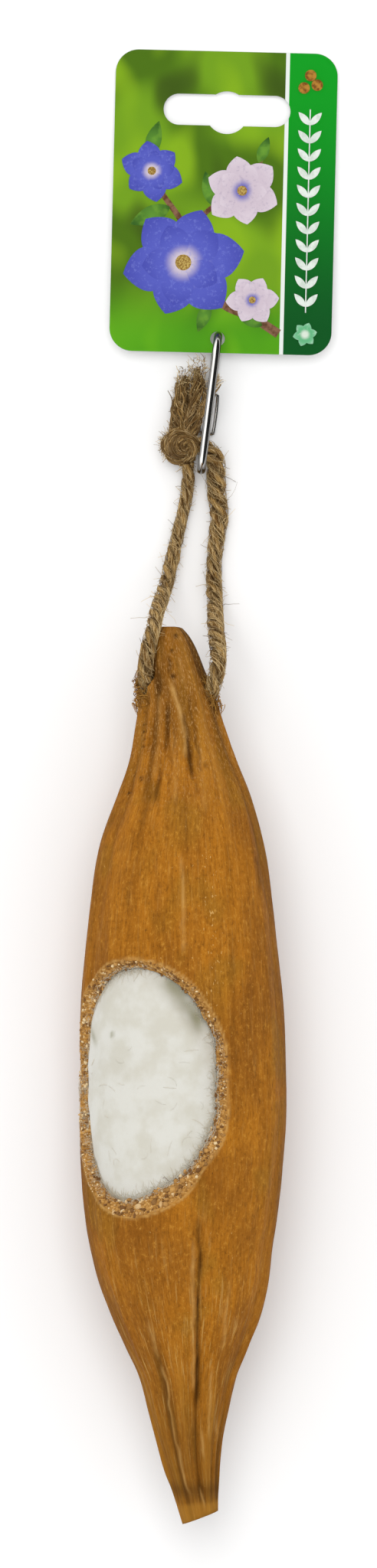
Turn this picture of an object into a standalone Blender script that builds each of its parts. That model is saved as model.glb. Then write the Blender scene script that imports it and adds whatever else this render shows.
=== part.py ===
"""Kapok pod lying on its back, with its jute cord, snap clip and hang card.

+Y runs along the pod towards the cord, +X is to the right, +Z is up from the surface.
The origin is the middle of the small flat spot under the pod. Lengths are in millimetres
until a mesh is made, which is in metres.
"""
import math

import bmesh
import bpy
from mathutils import Matrix, Vector

MM = 0.001

# Husk outline: place along the pod, sideways drift of its middle, half width
HUSK_STATIONS = (
    (-111.6, 5.1, 4.3), (-107.0, 4.4, 5.0), (-99.0, 3.3, 6.4), (-91.5, 2.6, 7.9),
    (-84.0, 2.3, 9.8), (-76.0, 2.1, 12.0), (-68.5, 1.7, 15.3), (-61.0, 1.4, 18.5),
    (-53.0, 0.9, 21.0), (-45.0, 0.4, 22.6), (-37.5, 0.3, 23.9), (-22.0, 0.6, 25.3),
    (-5.0, 0.7, 25.8), (12.5, 0.4, 25.4), (35.5, 0.2, 23.6), (47.0, 0.2, 22.2),
    (55.0, 0.3, 20.8), (62.5, 0.6, 18.8), (70.5, 0.9, 16.0), (78.0, 0.7, 13.2),
    (86.0, 0.0, 11.0), (93.5, -0.6, 9.4), (101.0, -2.1, 8.1), (106.0, -2.8, 6.9),
    (109.5, -3.0, 5.2), (111.4, -2.8, 3.4),
)
DEPTH_TO_WIDTH = 0.95
AXIS_HEIGHT = 23.6
END_DROOP = 3.5
TIP_CUT_SLOPE = 0.38
TIP_CUT_LENGTH = 9.0
HUSK_WALL = 3.0
HUSK_SEGMENTS = 64
HUSK_RINGS = 36

# Grooves along the husk: angle from straight up towards +X, depth
SEAMS = ((10.0, 1.0), (70.0, 0.7), (148.0, 0.8), (-132.0, 0.8), (-64.0, 0.6))
SEAM_WIDTH = 6.0
SEAM_LIP_ANGLE = 13.0
SEAM_LIP_WIDTH = 8.0
SEAM_LIP_SHARE = 0.45
FLUTE_COUNT = 11
FLUTE_MIDDLE = 0.12
FLUTE_ENDS = 0.45

# Hollow of the husk and the floss in it
CAVITY_LOW = -92.0
CAVITY_HIGH = 82.0
CAVITY_SEGMENTS = 40
CAVITY_RINGS = 26
FLOSS_GAP = 0.35
FLOSS_BULGE = 1.9
FLOSS_EDGE = 0.93

# Window: centre angle, centre place, and its reach from there every 22.5 degrees, which
# starts at +X and turns towards the cord
WINDOW_ANGLE = -30.5
WINDOW_PLACE = -4.0
WINDOW_REACH = (25.5, 26.3, 28.2, 32.2, 32.3, 29.8, 30.0, 27.0,
                24.6, 25.6, 24.2, 29.6, 32.4, 31.1, 27.8, 26.2)
WINDOW_ARC_RADIUS = 25.2
WINDOW_POINTS = 48
RIM_WIDTH = 2.6
RIM_EXTRA = 1.5
RIM_WIDEST_AT = -60.0

# Cord
CORD_DIAMETER = 3.8
CORD_GAP = 0.3
CORD_POINT_SPACING = 5.0
TUNNEL_RADIUS = 2.5
# Cord route from the knot through the pod's neck and back to the knot
CORD_ROUTE = (
    (2.0, 153.6, 4.6), (2.1, 150.2, 3.0), (1.5, 144.5, 2.1), (-0.1, 137.6, 2.1), (-1.7, 130.6, 2.3),
    (-3.1, 124.6, 5.0), (-4.4, 119.9, 11.0), (-5.8, 115.6, 19.0), (-6.9, 110.8, 26.0),
    (-8.1, 105.4, 28.4), (-8.7, 100.4, 27.0), (-7.6, 95.2, 23.0), (-4.6, 90.9, 20.3),
    (-0.4, 89.3, 19.8), (3.9, 91.0, 21.4), (7.3, 94.9, 24.4), (9.2, 100.2, 25.3),
    (9.5, 106.0, 22.0), (9.0, 111.6, 14.6), (8.8, 116.4, 7.0), (8.6, 121.9, 2.8), (8.6, 128.3, 2.1),
    (9.3, 135.3, 2.1), (9.9, 139.9, 2.1), (9.4, 145.4, 2.1), (9.1, 150.2, 2.9), (8.9, 154.0, 4.4),
    (6.6, 157.1, 5.1), (3.4, 158.4, 5.2),
)
TUNNEL_FROM = 9
TUNNEL_TO = 17

# Knot: middle, core radius and the two turns that wrap it
KNOT_CENTRE = (-0.1, 157.3, 5.2)
KNOT_CORE = (4.3, 4.1, 4.3)
KNOT_TURN_RADIUS = 3.05
KNOT_TURNS = (
    ((0.5, 0.2, 0.3), (0.78, 0.45, 0.43)),
    ((-0.7, -0.2, 0.0), (-0.35, 0.86, 0.36)),
)
TAILS = (
    (((-1.0, 159.6, 4.6), (-0.3, 163.5, 3.2), (0.4, 168.0, 2.6), (1.4, 172.6, 2.6),
      (2.1, 175.4, 2.7)), 2.3),
    (((1.2, 159.8, 5.4), (2.3, 163.5, 5.0), (2.9, 168.0, 4.7), (3.8, 173.0, 4.4),
      (4.7, 176.4, 4.2)), 1.8),
)

# Clip: a round wire ring on edge, seen from above as one straight bar
CLIP_FOOT = (5.2, 150.5)
CLIP_LENGTH = 36.3
CLIP_LEAN = 7.2
WIRE_DIAMETER = 2.1
CLIP_BOW_RADIUS = 5.9
FLOOR_GAP = 0.1
GATE_HINGE_AT = 10.6
GATE_END_AT = 20.4
STUB_END_AT = 12.0
NOSE_END_AT = 19.0
GATE_WIRE = 0.8
GATE_HALF_WIDTH = 1.8
GATE_LIFT = 1.8
PIN_HOLE = 1.25

# Card
CARD_WIDTH = 56.0
CARD_HEIGHT = 76.4
CARD_THICKNESS = 0.8
CARD_CORNER = 5.8
CARD_CENTRE = (10.98, 219.3, 2.31)
CARD_TURN = -1.4
CARD_SLOPE = -2.64
SLOT_CENTRE = (0.3, 23.3)
SLOT_LENGTH = 32.0
SLOT_HEIGHT = 7.9
SLOT_BUMP = 10.8
SLOT_BUMP_DROP = 0.6
PUNCH_CENTRE = (-0.7, -34.6)
PUNCH_DIAMETER = 4.4

# Colours, roughness and metallic value of each piece
FINISHES = {
    "husk": ((0.42, 0.20, 0.05), 0.55, 0.0),
    "floss": ((0.72, 0.70, 0.66), 0.95, 0.0),
    "cord": ((0.36, 0.22, 0.09), 0.9, 0.0),
    "knot": ((0.36, 0.22, 0.09), 0.9, 0.0),
    "clip_body": ((0.75, 0.75, 0.76), 0.15, 1.0),
    "clip_gate": ((0.70, 0.70, 0.72), 0.2, 1.0),
    "card": ((0.18, 0.45, 0.10), 0.25, 0.0),
}


def clear_scene():
    for obj in list(bpy.data.objects):
        bpy.data.objects.remove(obj, do_unlink=True)


def finish_for(name):
    colour, roughness, metallic = FINISHES[name]
    material = bpy.data.materials.new(name)
    material.use_nodes = True
    shader = material.node_tree.nodes["Principled BSDF"]
    shader.inputs["Base Color"].default_value = (*colour, 1.0)
    shader.inputs["Roughness"].default_value = roughness
    shader.inputs["Metallic"].default_value = metallic
    return material


def mesh_object(name, points, faces, sharp_angle=40.0):
    """Makes an object from millimetre points, with outward faces and smooth shading."""
    mesh = bpy.data.meshes.new(name)
    mesh.from_pydata([Vector(p) * MM for p in points], [], faces)
    work = bmesh.new()
    work.from_mesh(mesh)
    bmesh.ops.recalc_face_normals(work, faces=work.faces)
    if work.calc_volume(signed=True) < 0.0:
        bmesh.ops.reverse_faces(work, faces=work.faces)
    work.to_mesh(mesh)
    work.free()
    mesh.shade_smooth()
    mesh.set_sharp_from_angle(angle=math.radians(sharp_angle))
    obj = bpy.data.objects.new(name, mesh)
    bpy.context.scene.collection.objects.link(obj)
    if name in FINISHES:
        mesh.materials.append(finish_for(name))
    return obj


def as_cutter(obj):
    obj.hide_render = True
    obj.display_type = "WIRE"
    return obj


def combine(target, other, operation):
    modifier = target.modifiers.new(other.name, "BOOLEAN")
    modifier.operation = operation
    modifier.solver = "EXACT"
    modifier.object = as_cutter(other)


def through_stations(stations, place):
    """Smooth value of each column at a place, by cubic pieces between the stations."""
    low = 0
    while low < len(stations) - 2 and stations[low + 1][0] < place:
        low += 1
    a, b = stations[low], stations[low + 1]
    before = stations[max(low - 1, 0)]
    after = stations[min(low + 2, len(stations) - 1)]
    span = b[0] - a[0]
    t = min(max((place - a[0]) / span, 0.0), 1.0)
    values = []
    for column in range(1, len(a)):
        slope_a = (b[column] - before[column]) / (b[0] - before[0]) * span
        slope_b = (after[column] - a[column]) / (after[0] - a[0]) * span
        values.append(
            (2 * t**3 - 3 * t**2 + 1) * a[column]
            + (t**3 - 2 * t**2 + t) * slope_a
            + (-2 * t**3 + 3 * t**2) * b[column]
            + (t**3 - t**2) * slope_b
        )
    return values


def smooth_step(low, high, value):
    t = min(max((value - low) / (high - low), 0.0), 1.0)
    return t * t * (3 - 2 * t)


def angle_between(a, b):
    return (a - b + 180.0) % 360.0 - 180.0


def axis_point(place):
    drift = through_stations(HUSK_STATIONS, place)[0]
    return drift, AXIS_HEIGHT - END_DROOP * (place / 112.0) ** 4


def husk_relief(angle, place):
    """Grooves with raised lips, and flutes that deepen towards the two ends."""
    towards_end = smooth_step(35.0, 85.0, abs(place))
    fade = 1.0 - smooth_step(98.0, 112.0, abs(place))
    relief = 0.0
    for seam_angle, depth in SEAMS:
        off = angle_between(angle, seam_angle + 3.0 * math.sin(place / 31.0 + seam_angle))
        lip = (abs(off) - SEAM_LIP_ANGLE) / SEAM_LIP_WIDTH
        strength = depth * (0.65 + 0.35 * towards_end)
        relief -= strength * math.exp(-((off / SEAM_WIDTH) ** 2))
        relief += strength * SEAM_LIP_SHARE * math.exp(-lip * lip)
    flute = FLUTE_MIDDLE + (FLUTE_ENDS - FLUTE_MIDDLE) * towards_end
    phase = FLUTE_COUNT * math.radians(angle) + 1.3 * math.sin(place / 40.0)
    relief += flute * math.cos(phase) * (0.7 + 0.3 * math.sin(math.radians(3 * angle)))
    return relief * fade


def pod_point(angle, place, radius_change, scale=1.0):
    """Point on the pod at an angle from straight up, moved outwards by radius_change."""
    drift, height = axis_point(place)
    half_width = through_stations(HUSK_STATIONS, place)[1]
    turn = math.radians(angle)
    across = (half_width + radius_change) * scale
    upwards = (half_width * DEPTH_TO_WIDTH + radius_change) * scale
    return drift + across * math.sin(turn), place, height + upwards * math.cos(turn)


def spaced_places(low, high, count):
    """Places from low to high, closer together at both ends."""
    middle, half = (low + high) / 2, (high - low) / 2
    for step in range(count):
        u = 2 * step / (count - 1) - 1
        yield middle + half * (0.65 * u + 0.35 * math.sin(u * math.pi / 2))


def skin_rings(rings):
    """Points and faces of a closed skin over rings of equal count, with a fan at each end."""
    count = len(rings[0])
    points = [point for ring in rings for point in ring]
    faces = []
    for row in range(len(rings) - 1):
        for k in range(count):
            here, there = row * count + k, row * count + (k + 1) % count
            faces.append((here, there, there + count, here + count))
    for row in (0, len(rings) - 1):
        middle = sum((Vector(p) for p in rings[row]), Vector()) / count
        points.append(tuple(middle))
        for k in range(count):
            faces.append((row * count + k, row * count + (k + 1) % count, len(points) - 1))
    return points, faces


def husk_body():
    rings = []
    for place in spaced_places(HUSK_STATIONS[0][0], HUSK_STATIONS[-1][0], HUSK_RINGS):
        drift = axis_point(place)[0]
        tip_share = smooth_step(-112.0 + TIP_CUT_LENGTH, -112.0, place)
        ring = []
        for k in range(HUSK_SEGMENTS):
            angle = 360.0 * k / HUSK_SEGMENTS
            x, y, z = pod_point(angle, place, husk_relief(angle, place))
            y += TIP_CUT_SLOPE * (x - drift) * tip_share
            ring.append((x, y, max(z, 0.0)))
        rings.append(ring)
    return mesh_object("husk", *skin_rings(rings))


def cavity_change(place):
    """How far the cavity wall lies inside the husk's outline, growing where it closes."""
    end_share = abs(place - (CAVITY_LOW + CAVITY_HIGH) / 2) / ((CAVITY_HIGH - CAVITY_LOW) / 2)
    half_width = through_stations(HUSK_STATIONS, place)[1]
    rounding = 1.0 - math.sqrt(max(1.0 - min(end_share, 1.0) ** 12, 0.02))
    return -HUSK_WALL - (half_width - HUSK_WALL) * rounding


def window_reach(turn):
    """Reach of the window's edge from its centre, by a smooth curve through WINDOW_REACH."""
    count = len(WINDOW_REACH)
    step = (turn % 360.0) / 360.0 * count
    k, t = int(step) % count, step - int(step)
    a, b, c, d = (WINDOW_REACH[(k + n) % count] for n in (-1, 0, 1, 2))
    return b + 0.5 * t * (c - a + t * (2 * a - 5 * b + 4 * c - d + t * (3 * (b - c) + d - a)))


def rim_width(turn):
    return RIM_WIDTH + RIM_EXTRA * math.cos(math.radians(turn - RIM_WIDEST_AT))


def window_place(turn, reach):
    """Angle and place along the pod at a reach from the window's centre."""
    across = reach * math.cos(math.radians(turn))
    along = reach * math.sin(math.radians(turn))
    return WINDOW_ANGLE + math.degrees(across / WINDOW_ARC_RADIUS), WINDOW_PLACE + along


def window_cutter():
    """Closed block over the window: wide at the skin and narrower at the cavity wall."""
    turns = [360.0 * k / WINDOW_POINTS for k in range(WINDOW_POINTS)]
    rings = []
    for share in (0.04, 0.35, 0.7):
        rings.append([
            pod_point(*window_place(turn, share * window_reach(turn)), 6.0) for turn in turns
        ])
    for change, inwards in ((6.0, -2.2), (1.5, -0.6), (-HUSK_WALL, 1.0), (-8.0, 1.3)):
        rings.append([
            pod_point(*window_place(turn, window_reach(turn) - inwards * rim_width(turn)), change)
            for turn in turns
        ])
    return as_cutter(mesh_object("window_cutter", *skin_rings(rings)))


def cavity_cutter():
    rings = []
    for place in spaced_places(CAVITY_LOW, CAVITY_HIGH, CAVITY_RINGS):
        change = cavity_change(place)
        rings.append([
            pod_point(360.0 * k / CAVITY_SEGMENTS, place, change) for k in range(CAVITY_SEGMENTS)
        ])
    return as_cutter(mesh_object("cavity_cutter", *skin_rings(rings)))


def floss_change(angle, place):
    """Floss surface: a gap inside the cavity wall, swelling out in the window."""
    change = cavity_change(place) - FLOSS_GAP
    across = math.radians(angle_between(angle, WINDOW_ANGLE)) * WINDOW_ARC_RADIUS
    along = place - WINDOW_PLACE
    turn = math.degrees(math.atan2(along, across))
    edge = (window_reach(turn) - rim_width(turn)) * FLOSS_EDGE
    share = math.hypot(across, along) / edge
    if share < 1.0:
        change += FLOSS_BULGE * (1.0 - share**3) ** 2
    return change


def floss():
    rings = []
    for place in spaced_places(CAVITY_LOW, CAVITY_HIGH, CAVITY_RINGS):
        ring = []
        for k in range(CAVITY_SEGMENTS):
            angle = 360.0 * k / CAVITY_SEGMENTS
            x, y, z = pod_point(angle, place, floss_change(angle, place))
            y = min(max(y, CAVITY_LOW + FLOSS_GAP), CAVITY_HIGH - FLOSS_GAP)
            ring.append((x, y, z))
        rings.append(ring)
    return mesh_object("floss", *skin_rings(rings))


def smooth_route(route, spacing):
    """Points at an even spacing on a smooth curve through the route's points."""
    points = [Vector(p) for p in route]
    fine = []
    for k in range(len(points) - 1):
        a, b = points[max(k - 1, 0)], points[k]
        c, d = points[k + 1], points[min(k + 2, len(points) - 1)]
        for step in range(24):
            t = step / 24
            fine.append(b + 0.5 * t * (c - a + t * (2 * a - 5 * b + 4 * c - d + t * (3 * (b - c) + d - a))))
    fine.append(points[-1])
    lengths = [0.0]
    for a, b in zip(fine, fine[1:]):
        lengths.append(lengths[-1] + (b - a).length)
    count = max(round(lengths[-1] / spacing), 2)
    even, at = [], 0
    for step in range(count + 1):
        goal = lengths[-1] * step / count
        while at < len(fine) - 2 and lengths[at + 1] < goal:
            at += 1
        share = (goal - lengths[at]) / (lengths[at + 1] - lengths[at])
        even.append(fine[at].lerp(fine[at + 1], share))
    return even


def cord():
    curve = bpy.data.curves.new("cord", "CURVE")
    curve.dimensions = "3D"
    curve.bevel_depth = CORD_DIAMETER / 2 * MM
    curve.bevel_resolution = 2
    curve.use_fill_caps = True
    points = smooth_route(CORD_ROUTE, CORD_POINT_SPACING)
    spline = curve.splines.new("POLY")
    spline.points.add(len(points) - 1)
    for spot, point in zip(spline.points, points):
        spot.co = (*(point * MM), 1.0)
    curve.materials.append(finish_for("cord"))
    obj = bpy.data.objects.new("cord", curve)
    bpy.context.scene.collection.objects.link(obj)
    return obj


def swept_wire(points, radius, sides, closed=False, round_ends=False):
    """Points and faces of a round wire whose middle follows the points."""
    points = [Vector(p) for p in points]
    count = len(points)
    radii = [radius] * count
    if round_ends:
        start, end = points[0], points[-1]
        back = (points[0] - points[1]).normalized() * radius
        ahead = (points[-1] - points[-2]).normalized() * radius
        points = [start + back, start + back * 0.7] + points + [end + ahead * 0.7, end + ahead]
        radii = [radius * 0.3, radius * 0.72] + radii + [radius * 0.72, radius * 0.3]
        count = len(points)
    side = None
    rings = []
    for k, point in enumerate(points):
        if closed:
            along = points[(k + 1) % count] - points[k - 1]
        else:
            along = points[min(k + 1, count - 1)] - points[max(k - 1, 0)]
        along.normalize()
        if side is None:
            side = along.orthogonal()
        side = (side - along * side.dot(along)).normalized()
        up = along.cross(side)
        ring = []
        for n in range(sides):
            turn = 2 * math.pi * n / sides
            ring.append(tuple(point + (side * math.cos(turn) + up * math.sin(turn)) * radii[k]))
        rings.append(ring)
    if not closed:
        return skin_rings(rings)
    faces = []
    for row in range(count):
        next_row = (row + 1) % count
        for n in range(sides):
            m = (n + 1) % sides
            faces.append((row * sides + n, row * sides + m, next_row * sides + m, next_row * sides + n))
    return [p for ring in rings for p in ring], faces


def knot():
    """Core lump, two turns of cord round it and the two frayed ends, joined in one body."""
    centre = Vector(KNOT_CENTRE)
    rings = []
    for row in range(1, 8):
        height = math.pi * row / 8
        rings.append([
            (
                centre.x + KNOT_CORE[0] * math.sin(height) * math.cos(2 * math.pi * k / 14),
                centre.y + KNOT_CORE[1] * math.sin(height) * math.sin(2 * math.pi * k / 14),
                centre.z + KNOT_CORE[2] * math.cos(height),
            )
            for k in range(14)
        ])
    body = mesh_object("knot", *skin_rings(rings))
    for number, (offset, normal) in enumerate(KNOT_TURNS):
        normal = Vector(normal).normalized()
        side = normal.orthogonal().normalized()
        up = normal.cross(side)
        loop = []
        for k in range(18):
            turn = 2 * math.pi * k / 18
            outwards = side * math.cos(turn) + up * math.sin(turn)
            loop.append(centre + Vector(offset) + outwards * KNOT_TURN_RADIUS)
        points, faces = swept_wire(loop, CORD_DIAMETER / 2 - 0.1, 8, closed=True)
        combine(body, mesh_object(f"turn_{number}", points, faces), "UNION")
    for number, (route, radius) in enumerate(TAILS):
        points, faces = swept_wire(smooth_route(route, 2.6), radius, 10, round_ends=True)
        combine(body, mesh_object(f"tail_{number}", points, faces), "UNION")
    socket = smooth_route(CORD_ROUTE, 2.5)
    start = [socket[0] + (socket[0] - socket[1]).normalized() * CORD_GAP] + socket[:4]
    end = socket[-4:] + [socket[-1] + (socket[-1] - socket[-2]).normalized() * CORD_GAP]
    for number, route in enumerate((start, end)):
        points, faces = swept_wire(route, CORD_DIAMETER / 2 + CORD_GAP, 12)
        combine(body, mesh_object(f"socket_{number}", points, faces), "DIFFERENCE")
    return body


def husk():
    body = husk_body()
    combine(body, cavity_cutter(), "DIFFERENCE")
    combine(body, window_cutter(), "DIFFERENCE")
    tunnel = smooth_route(CORD_ROUTE[TUNNEL_FROM:TUNNEL_TO + 1], 2.5)
    points, faces = swept_wire(tunnel, TUNNEL_RADIUS, 12)
    combine(body, mesh_object("tunnel_cutter", points, faces), "DIFFERENCE")
    return body


def clip_point(along, height, sideways=0.0):
    """Point in the clip's own upright plane, as row coordinates."""
    lean = math.radians(CLIP_LEAN)
    x = CLIP_FOOT[0] + along * math.sin(lean) + sideways * math.cos(lean)
    y = CLIP_FOOT[1] + along * math.cos(lean) - sideways * math.sin(lean)
    return x, y, height


BACK_HEIGHT = FLOOR_GAP + WIRE_DIAMETER / 2
MIDDLE_HEIGHT = BACK_HEIGHT + CLIP_BOW_RADIUS
FRONT_HEIGHT = MIDDLE_HEIGHT + CLIP_BOW_RADIUS
LOW_BOW_AT = WIRE_DIAMETER / 2 + CLIP_BOW_RADIUS
HIGH_BOW_AT = CLIP_LENGTH - LOW_BOW_AT


def clip_body():
    """Wire from the hinge stub round the low bow, along the front and round to the nose."""
    path = [clip_point(STUB_END_AT, BACK_HEIGHT), clip_point(GATE_HINGE_AT, BACK_HEIGHT)]
    for k in range(13):
        turn = math.pi * k / 12
        along = LOW_BOW_AT - CLIP_BOW_RADIUS * math.sin(turn)
        path.append(clip_point(along, MIDDLE_HEIGHT - CLIP_BOW_RADIUS * math.cos(turn)))
    for share in (0.33, 0.67):
        path.append(clip_point(LOW_BOW_AT + (HIGH_BOW_AT - LOW_BOW_AT) * share, FRONT_HEIGHT))
    for k in range(13):
        turn = math.pi * k / 12
        along = HIGH_BOW_AT + CLIP_BOW_RADIUS * math.sin(turn)
        path.append(clip_point(along, MIDDLE_HEIGHT + CLIP_BOW_RADIUS * math.cos(turn)))
    path.append(clip_point((HIGH_BOW_AT + NOSE_END_AT) / 2, BACK_HEIGHT))
    path.append(clip_point(NOSE_END_AT, BACK_HEIGHT))
    body = mesh_object("clip_body", *swept_wire(path, WIRE_DIAMETER / 2, 12))
    reach = WIRE_DIAMETER
    pin_hole = [clip_point(GATE_HINGE_AT, BACK_HEIGHT, side) for side in (-reach, 0.0, reach)]
    points, faces = swept_wire(pin_hole, PIN_HOLE / 2, 12)
    combine(body, mesh_object("pin_hole_cutter", points, faces), "DIFFERENCE")
    return body


def clip_gate():
    """Closed loop of thin wire: the pin, one leg, the cross bar behind the nose, one leg."""
    w, corner = GATE_HALF_WIDTH, 0.5
    top = BACK_HEIGHT + GATE_LIFT
    near, far = GATE_HINGE_AT, GATE_END_AT
    leg_low, leg_high = BACK_HEIGHT + 0.08, top - 0.08
    path = [
        (near, BACK_HEIGHT, -w + corner), (near, BACK_HEIGHT, 0.0), (near, BACK_HEIGHT, w - corner),
        (near + 0.15, BACK_HEIGHT, w - 0.15), (near + corner, leg_low, w),
        ((near + far) / 2, (BACK_HEIGHT + top) / 2, w + 0.15), (far - corner, leg_high, w),
        (far - 0.15, top, w - 0.15), (far, top, w - corner), (far, top, 0.0), (far, top, -w + corner),
        (far - 0.15, top, -w + 0.15), (far - corner, leg_high, -w),
        ((near + far) / 2, (BACK_HEIGHT + top) / 2, -w - 0.15), (near + corner, leg_low, -w),
        (near + 0.15, BACK_HEIGHT, -w + 0.15),
    ]
    loop = [clip_point(along, height, side) for along, height, side in path]
    body = mesh_object("clip_gate", *swept_wire(loop, GATE_WIRE / 2, 8, closed=True))
    hinge = Vector(clip_point(GATE_HINGE_AT, BACK_HEIGHT)) * MM
    body.data.transform(Matrix.Translation(-hinge))
    body.location = hinge
    return body


def flat_block(name, outline, thickness):
    """A flat outline in its own plane, as a block centred on that plane."""
    count = len(outline)
    points = [(x, y, -thickness / 2) for x, y in outline] + [(x, y, thickness / 2) for x, y in outline]
    faces = [tuple(range(count)), tuple(range(count, 2 * count))]
    for k in range(count):
        faces.append((k, (k + 1) % count, (k + 1) % count + count, k + count))
    return mesh_object(name, points, faces, sharp_angle=30.0)


def rounded_outline(width, height, corner, centre=(0.0, 0.0), steps=6):
    outline = []
    for quarter in range(4):
        sx, sy = ((1, 1), (-1, 1), (-1, -1), (1, -1))[quarter]
        for k in range(steps + 1):
            turn = math.pi / 2 * (quarter + k / steps)
            x = centre[0] + sx * (width / 2 - corner) + corner * math.cos(turn)
            y = centre[1] + sy * (height / 2 - corner) + corner * math.sin(turn)
            if not outline or math.dist(outline[-1], (x, y)) > 0.001:
                outline.append((x, y))
    return outline


def round_outline(diameter, centre, sides=24):
    turns = [2 * math.pi * k / sides for k in range(sides)]
    radius = diameter / 2
    return [(centre[0] + radius * math.cos(t), centre[1] + radius * math.sin(t)) for t in turns]


def card():
    plate = flat_block("card", rounded_outline(CARD_WIDTH, CARD_HEIGHT, CARD_CORNER), CARD_THICKNESS)
    place = (
        Matrix.Translation(Vector(CARD_CENTRE) * MM)
        @ Matrix.Rotation(math.radians(CARD_TURN), 4, "Z")
        @ Matrix.Rotation(math.radians(CARD_SLOPE), 4, "X")
    )
    slot_corner = SLOT_HEIGHT / 2 - 0.01
    slot = rounded_outline(SLOT_LENGTH, SLOT_HEIGHT, slot_corner, SLOT_CENTRE, steps=8)
    bump = round_outline(SLOT_BUMP, (SLOT_CENTRE[0], SLOT_CENTRE[1] - SLOT_BUMP_DROP))
    punch = round_outline(PUNCH_DIAMETER, PUNCH_CENTRE)
    for name, outline in (("slot", slot), ("bump", bump), ("punch", punch)):
        cutter = flat_block(f"{name}_cutter", outline, 4 * CARD_THICKNESS)
        combine(plate, cutter, "DIFFERENCE")
        cutter.matrix_world = place
    plate.matrix_world = place
    return plate


def main():
    clear_scene()
    pod = bpy.data.objects.new("pod", None)
    hanger = bpy.data.objects.new("hanger", None)
    for empty in (pod, hanger):
        bpy.context.scene.collection.objects.link(empty)
    for piece in (husk(), floss()):
        piece.parent = pod
    for piece in (cord(), knot(), clip_body(), clip_gate(), card()):
        piece.parent = hanger


main()
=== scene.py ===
"""Looks of the kapok pod with its jute cord, snap clip and hang card.

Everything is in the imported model's frame: +Y along the pod towards the cord, +X right, +Z up.
Lengths are in millimetres until a mesh is made, which is in metres.
"""
import math

import bmesh
import bpy
import numpy as np
from mathutils import Matrix, Vector


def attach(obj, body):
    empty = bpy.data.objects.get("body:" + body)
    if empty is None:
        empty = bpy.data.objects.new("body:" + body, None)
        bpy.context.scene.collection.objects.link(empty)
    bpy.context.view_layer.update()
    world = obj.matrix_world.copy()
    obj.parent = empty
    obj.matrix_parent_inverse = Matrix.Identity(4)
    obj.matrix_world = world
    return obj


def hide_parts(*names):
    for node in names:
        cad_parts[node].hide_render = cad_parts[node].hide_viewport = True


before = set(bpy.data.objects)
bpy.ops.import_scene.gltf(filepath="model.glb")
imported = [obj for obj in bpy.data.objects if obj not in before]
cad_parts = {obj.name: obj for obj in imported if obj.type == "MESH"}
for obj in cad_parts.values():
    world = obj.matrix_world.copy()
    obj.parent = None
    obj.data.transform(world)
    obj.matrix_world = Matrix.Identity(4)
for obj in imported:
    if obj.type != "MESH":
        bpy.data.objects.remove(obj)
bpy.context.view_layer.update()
MM = 0.001

# Measurements shared with the solids
HUSK_STATIONS = (
    (-111.6, 5.1, 4.3), (-107.0, 4.4, 5.0), (-99.0, 3.3, 6.4), (-91.5, 2.6, 7.9),
    (-84.0, 2.3, 9.8), (-76.0, 2.1, 12.0), (-68.5, 1.7, 15.3), (-61.0, 1.4, 18.5),
    (-53.0, 0.9, 21.0), (-45.0, 0.4, 22.6), (-37.5, 0.3, 23.9), (-22.0, 0.6, 25.3),
    (-5.0, 0.7, 25.8), (12.5, 0.4, 25.4), (35.5, 0.2, 23.6), (47.0, 0.2, 22.2),
    (55.0, 0.3, 20.8), (62.5, 0.6, 18.8), (70.5, 0.9, 16.0), (78.0, 0.7, 13.2),
    (86.0, 0.0, 11.0), (93.5, -0.6, 9.4), (101.0, -2.1, 8.1), (106.0, -2.8, 6.9),
    (109.5, -3.0, 5.2), (111.4, -2.8, 3.4),
)
DEPTH_TO_WIDTH = 0.95
AXIS_HEIGHT = 23.6
END_DROOP = 3.5
TIP_CUT_SLOPE = 0.38
TIP_CUT_LENGTH = 9.0
HUSK_WALL = 3.0
SEAMS = ((10.0, 1.0), (70.0, 0.7), (148.0, 0.8), (-132.0, 0.8), (-64.0, 0.6))
SEAM_WIDTH = 6.0
SEAM_LIP_ANGLE = 13.0
SEAM_LIP_WIDTH = 8.0
SEAM_LIP_SHARE = 0.45
FLUTE_COUNT = 11
FLUTE_MIDDLE = 0.12
FLUTE_ENDS = 0.45
CAVITY_LOW = -92.0
CAVITY_HIGH = 82.0
FLOSS_GAP = 0.35
WINDOW_ANGLE = -30.5
WINDOW_PLACE = -4.0
WINDOW_ARC_RADIUS = 25.2
TUNNEL_RADIUS = 2.5
CORD_ROUTE = (
    (2.0, 153.6, 4.6), (2.1, 150.2, 3.0), (1.5, 144.5, 2.1), (-0.1, 137.6, 2.1), (-1.7, 130.6, 2.3),
    (-3.1, 124.6, 5.0), (-4.4, 119.9, 11.0), (-5.8, 115.6, 19.0), (-6.9, 110.8, 26.0),
    (-8.1, 105.4, 28.4), (-8.7, 100.4, 27.0), (-7.6, 95.2, 23.0), (-4.6, 90.9, 20.3),
    (-0.4, 89.3, 19.8), (3.9, 91.0, 21.4), (7.3, 94.9, 24.4), (9.2, 100.2, 25.3),
    (9.5, 106.0, 22.0), (9.0, 111.6, 14.6), (8.8, 116.4, 7.0), (8.6, 121.9, 2.8), (8.6, 128.3, 2.1),
    (9.3, 135.3, 2.1), (9.9, 139.9, 2.1), (9.4, 145.4, 2.1), (9.1, 150.2, 2.9), (8.9, 154.0, 4.4),
    (6.6, 157.1, 5.1), (3.4, 158.4, 5.2),
)
TUNNEL_FROM = 9
TUNNEL_TO = 17
TUNNEL_MIDDLE = 13
LEFT_HOLE = CORD_ROUTE[TUNNEL_FROM + 2]
RIGHT_HOLE = CORD_ROUTE[TUNNEL_TO - 2]
CLIP_FOOT = (5.2, 150.5)
CLIP_LENGTH = 36.3
CLIP_LEAN = 7.2
WIRE_DIAMETER = 2.1
CLIP_BOW_RADIUS = 5.9
FLOOR_GAP = 0.1
GATE_HINGE_AT = 10.6
GATE_END_AT = 20.4
STUB_END_AT = 12.0
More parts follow.
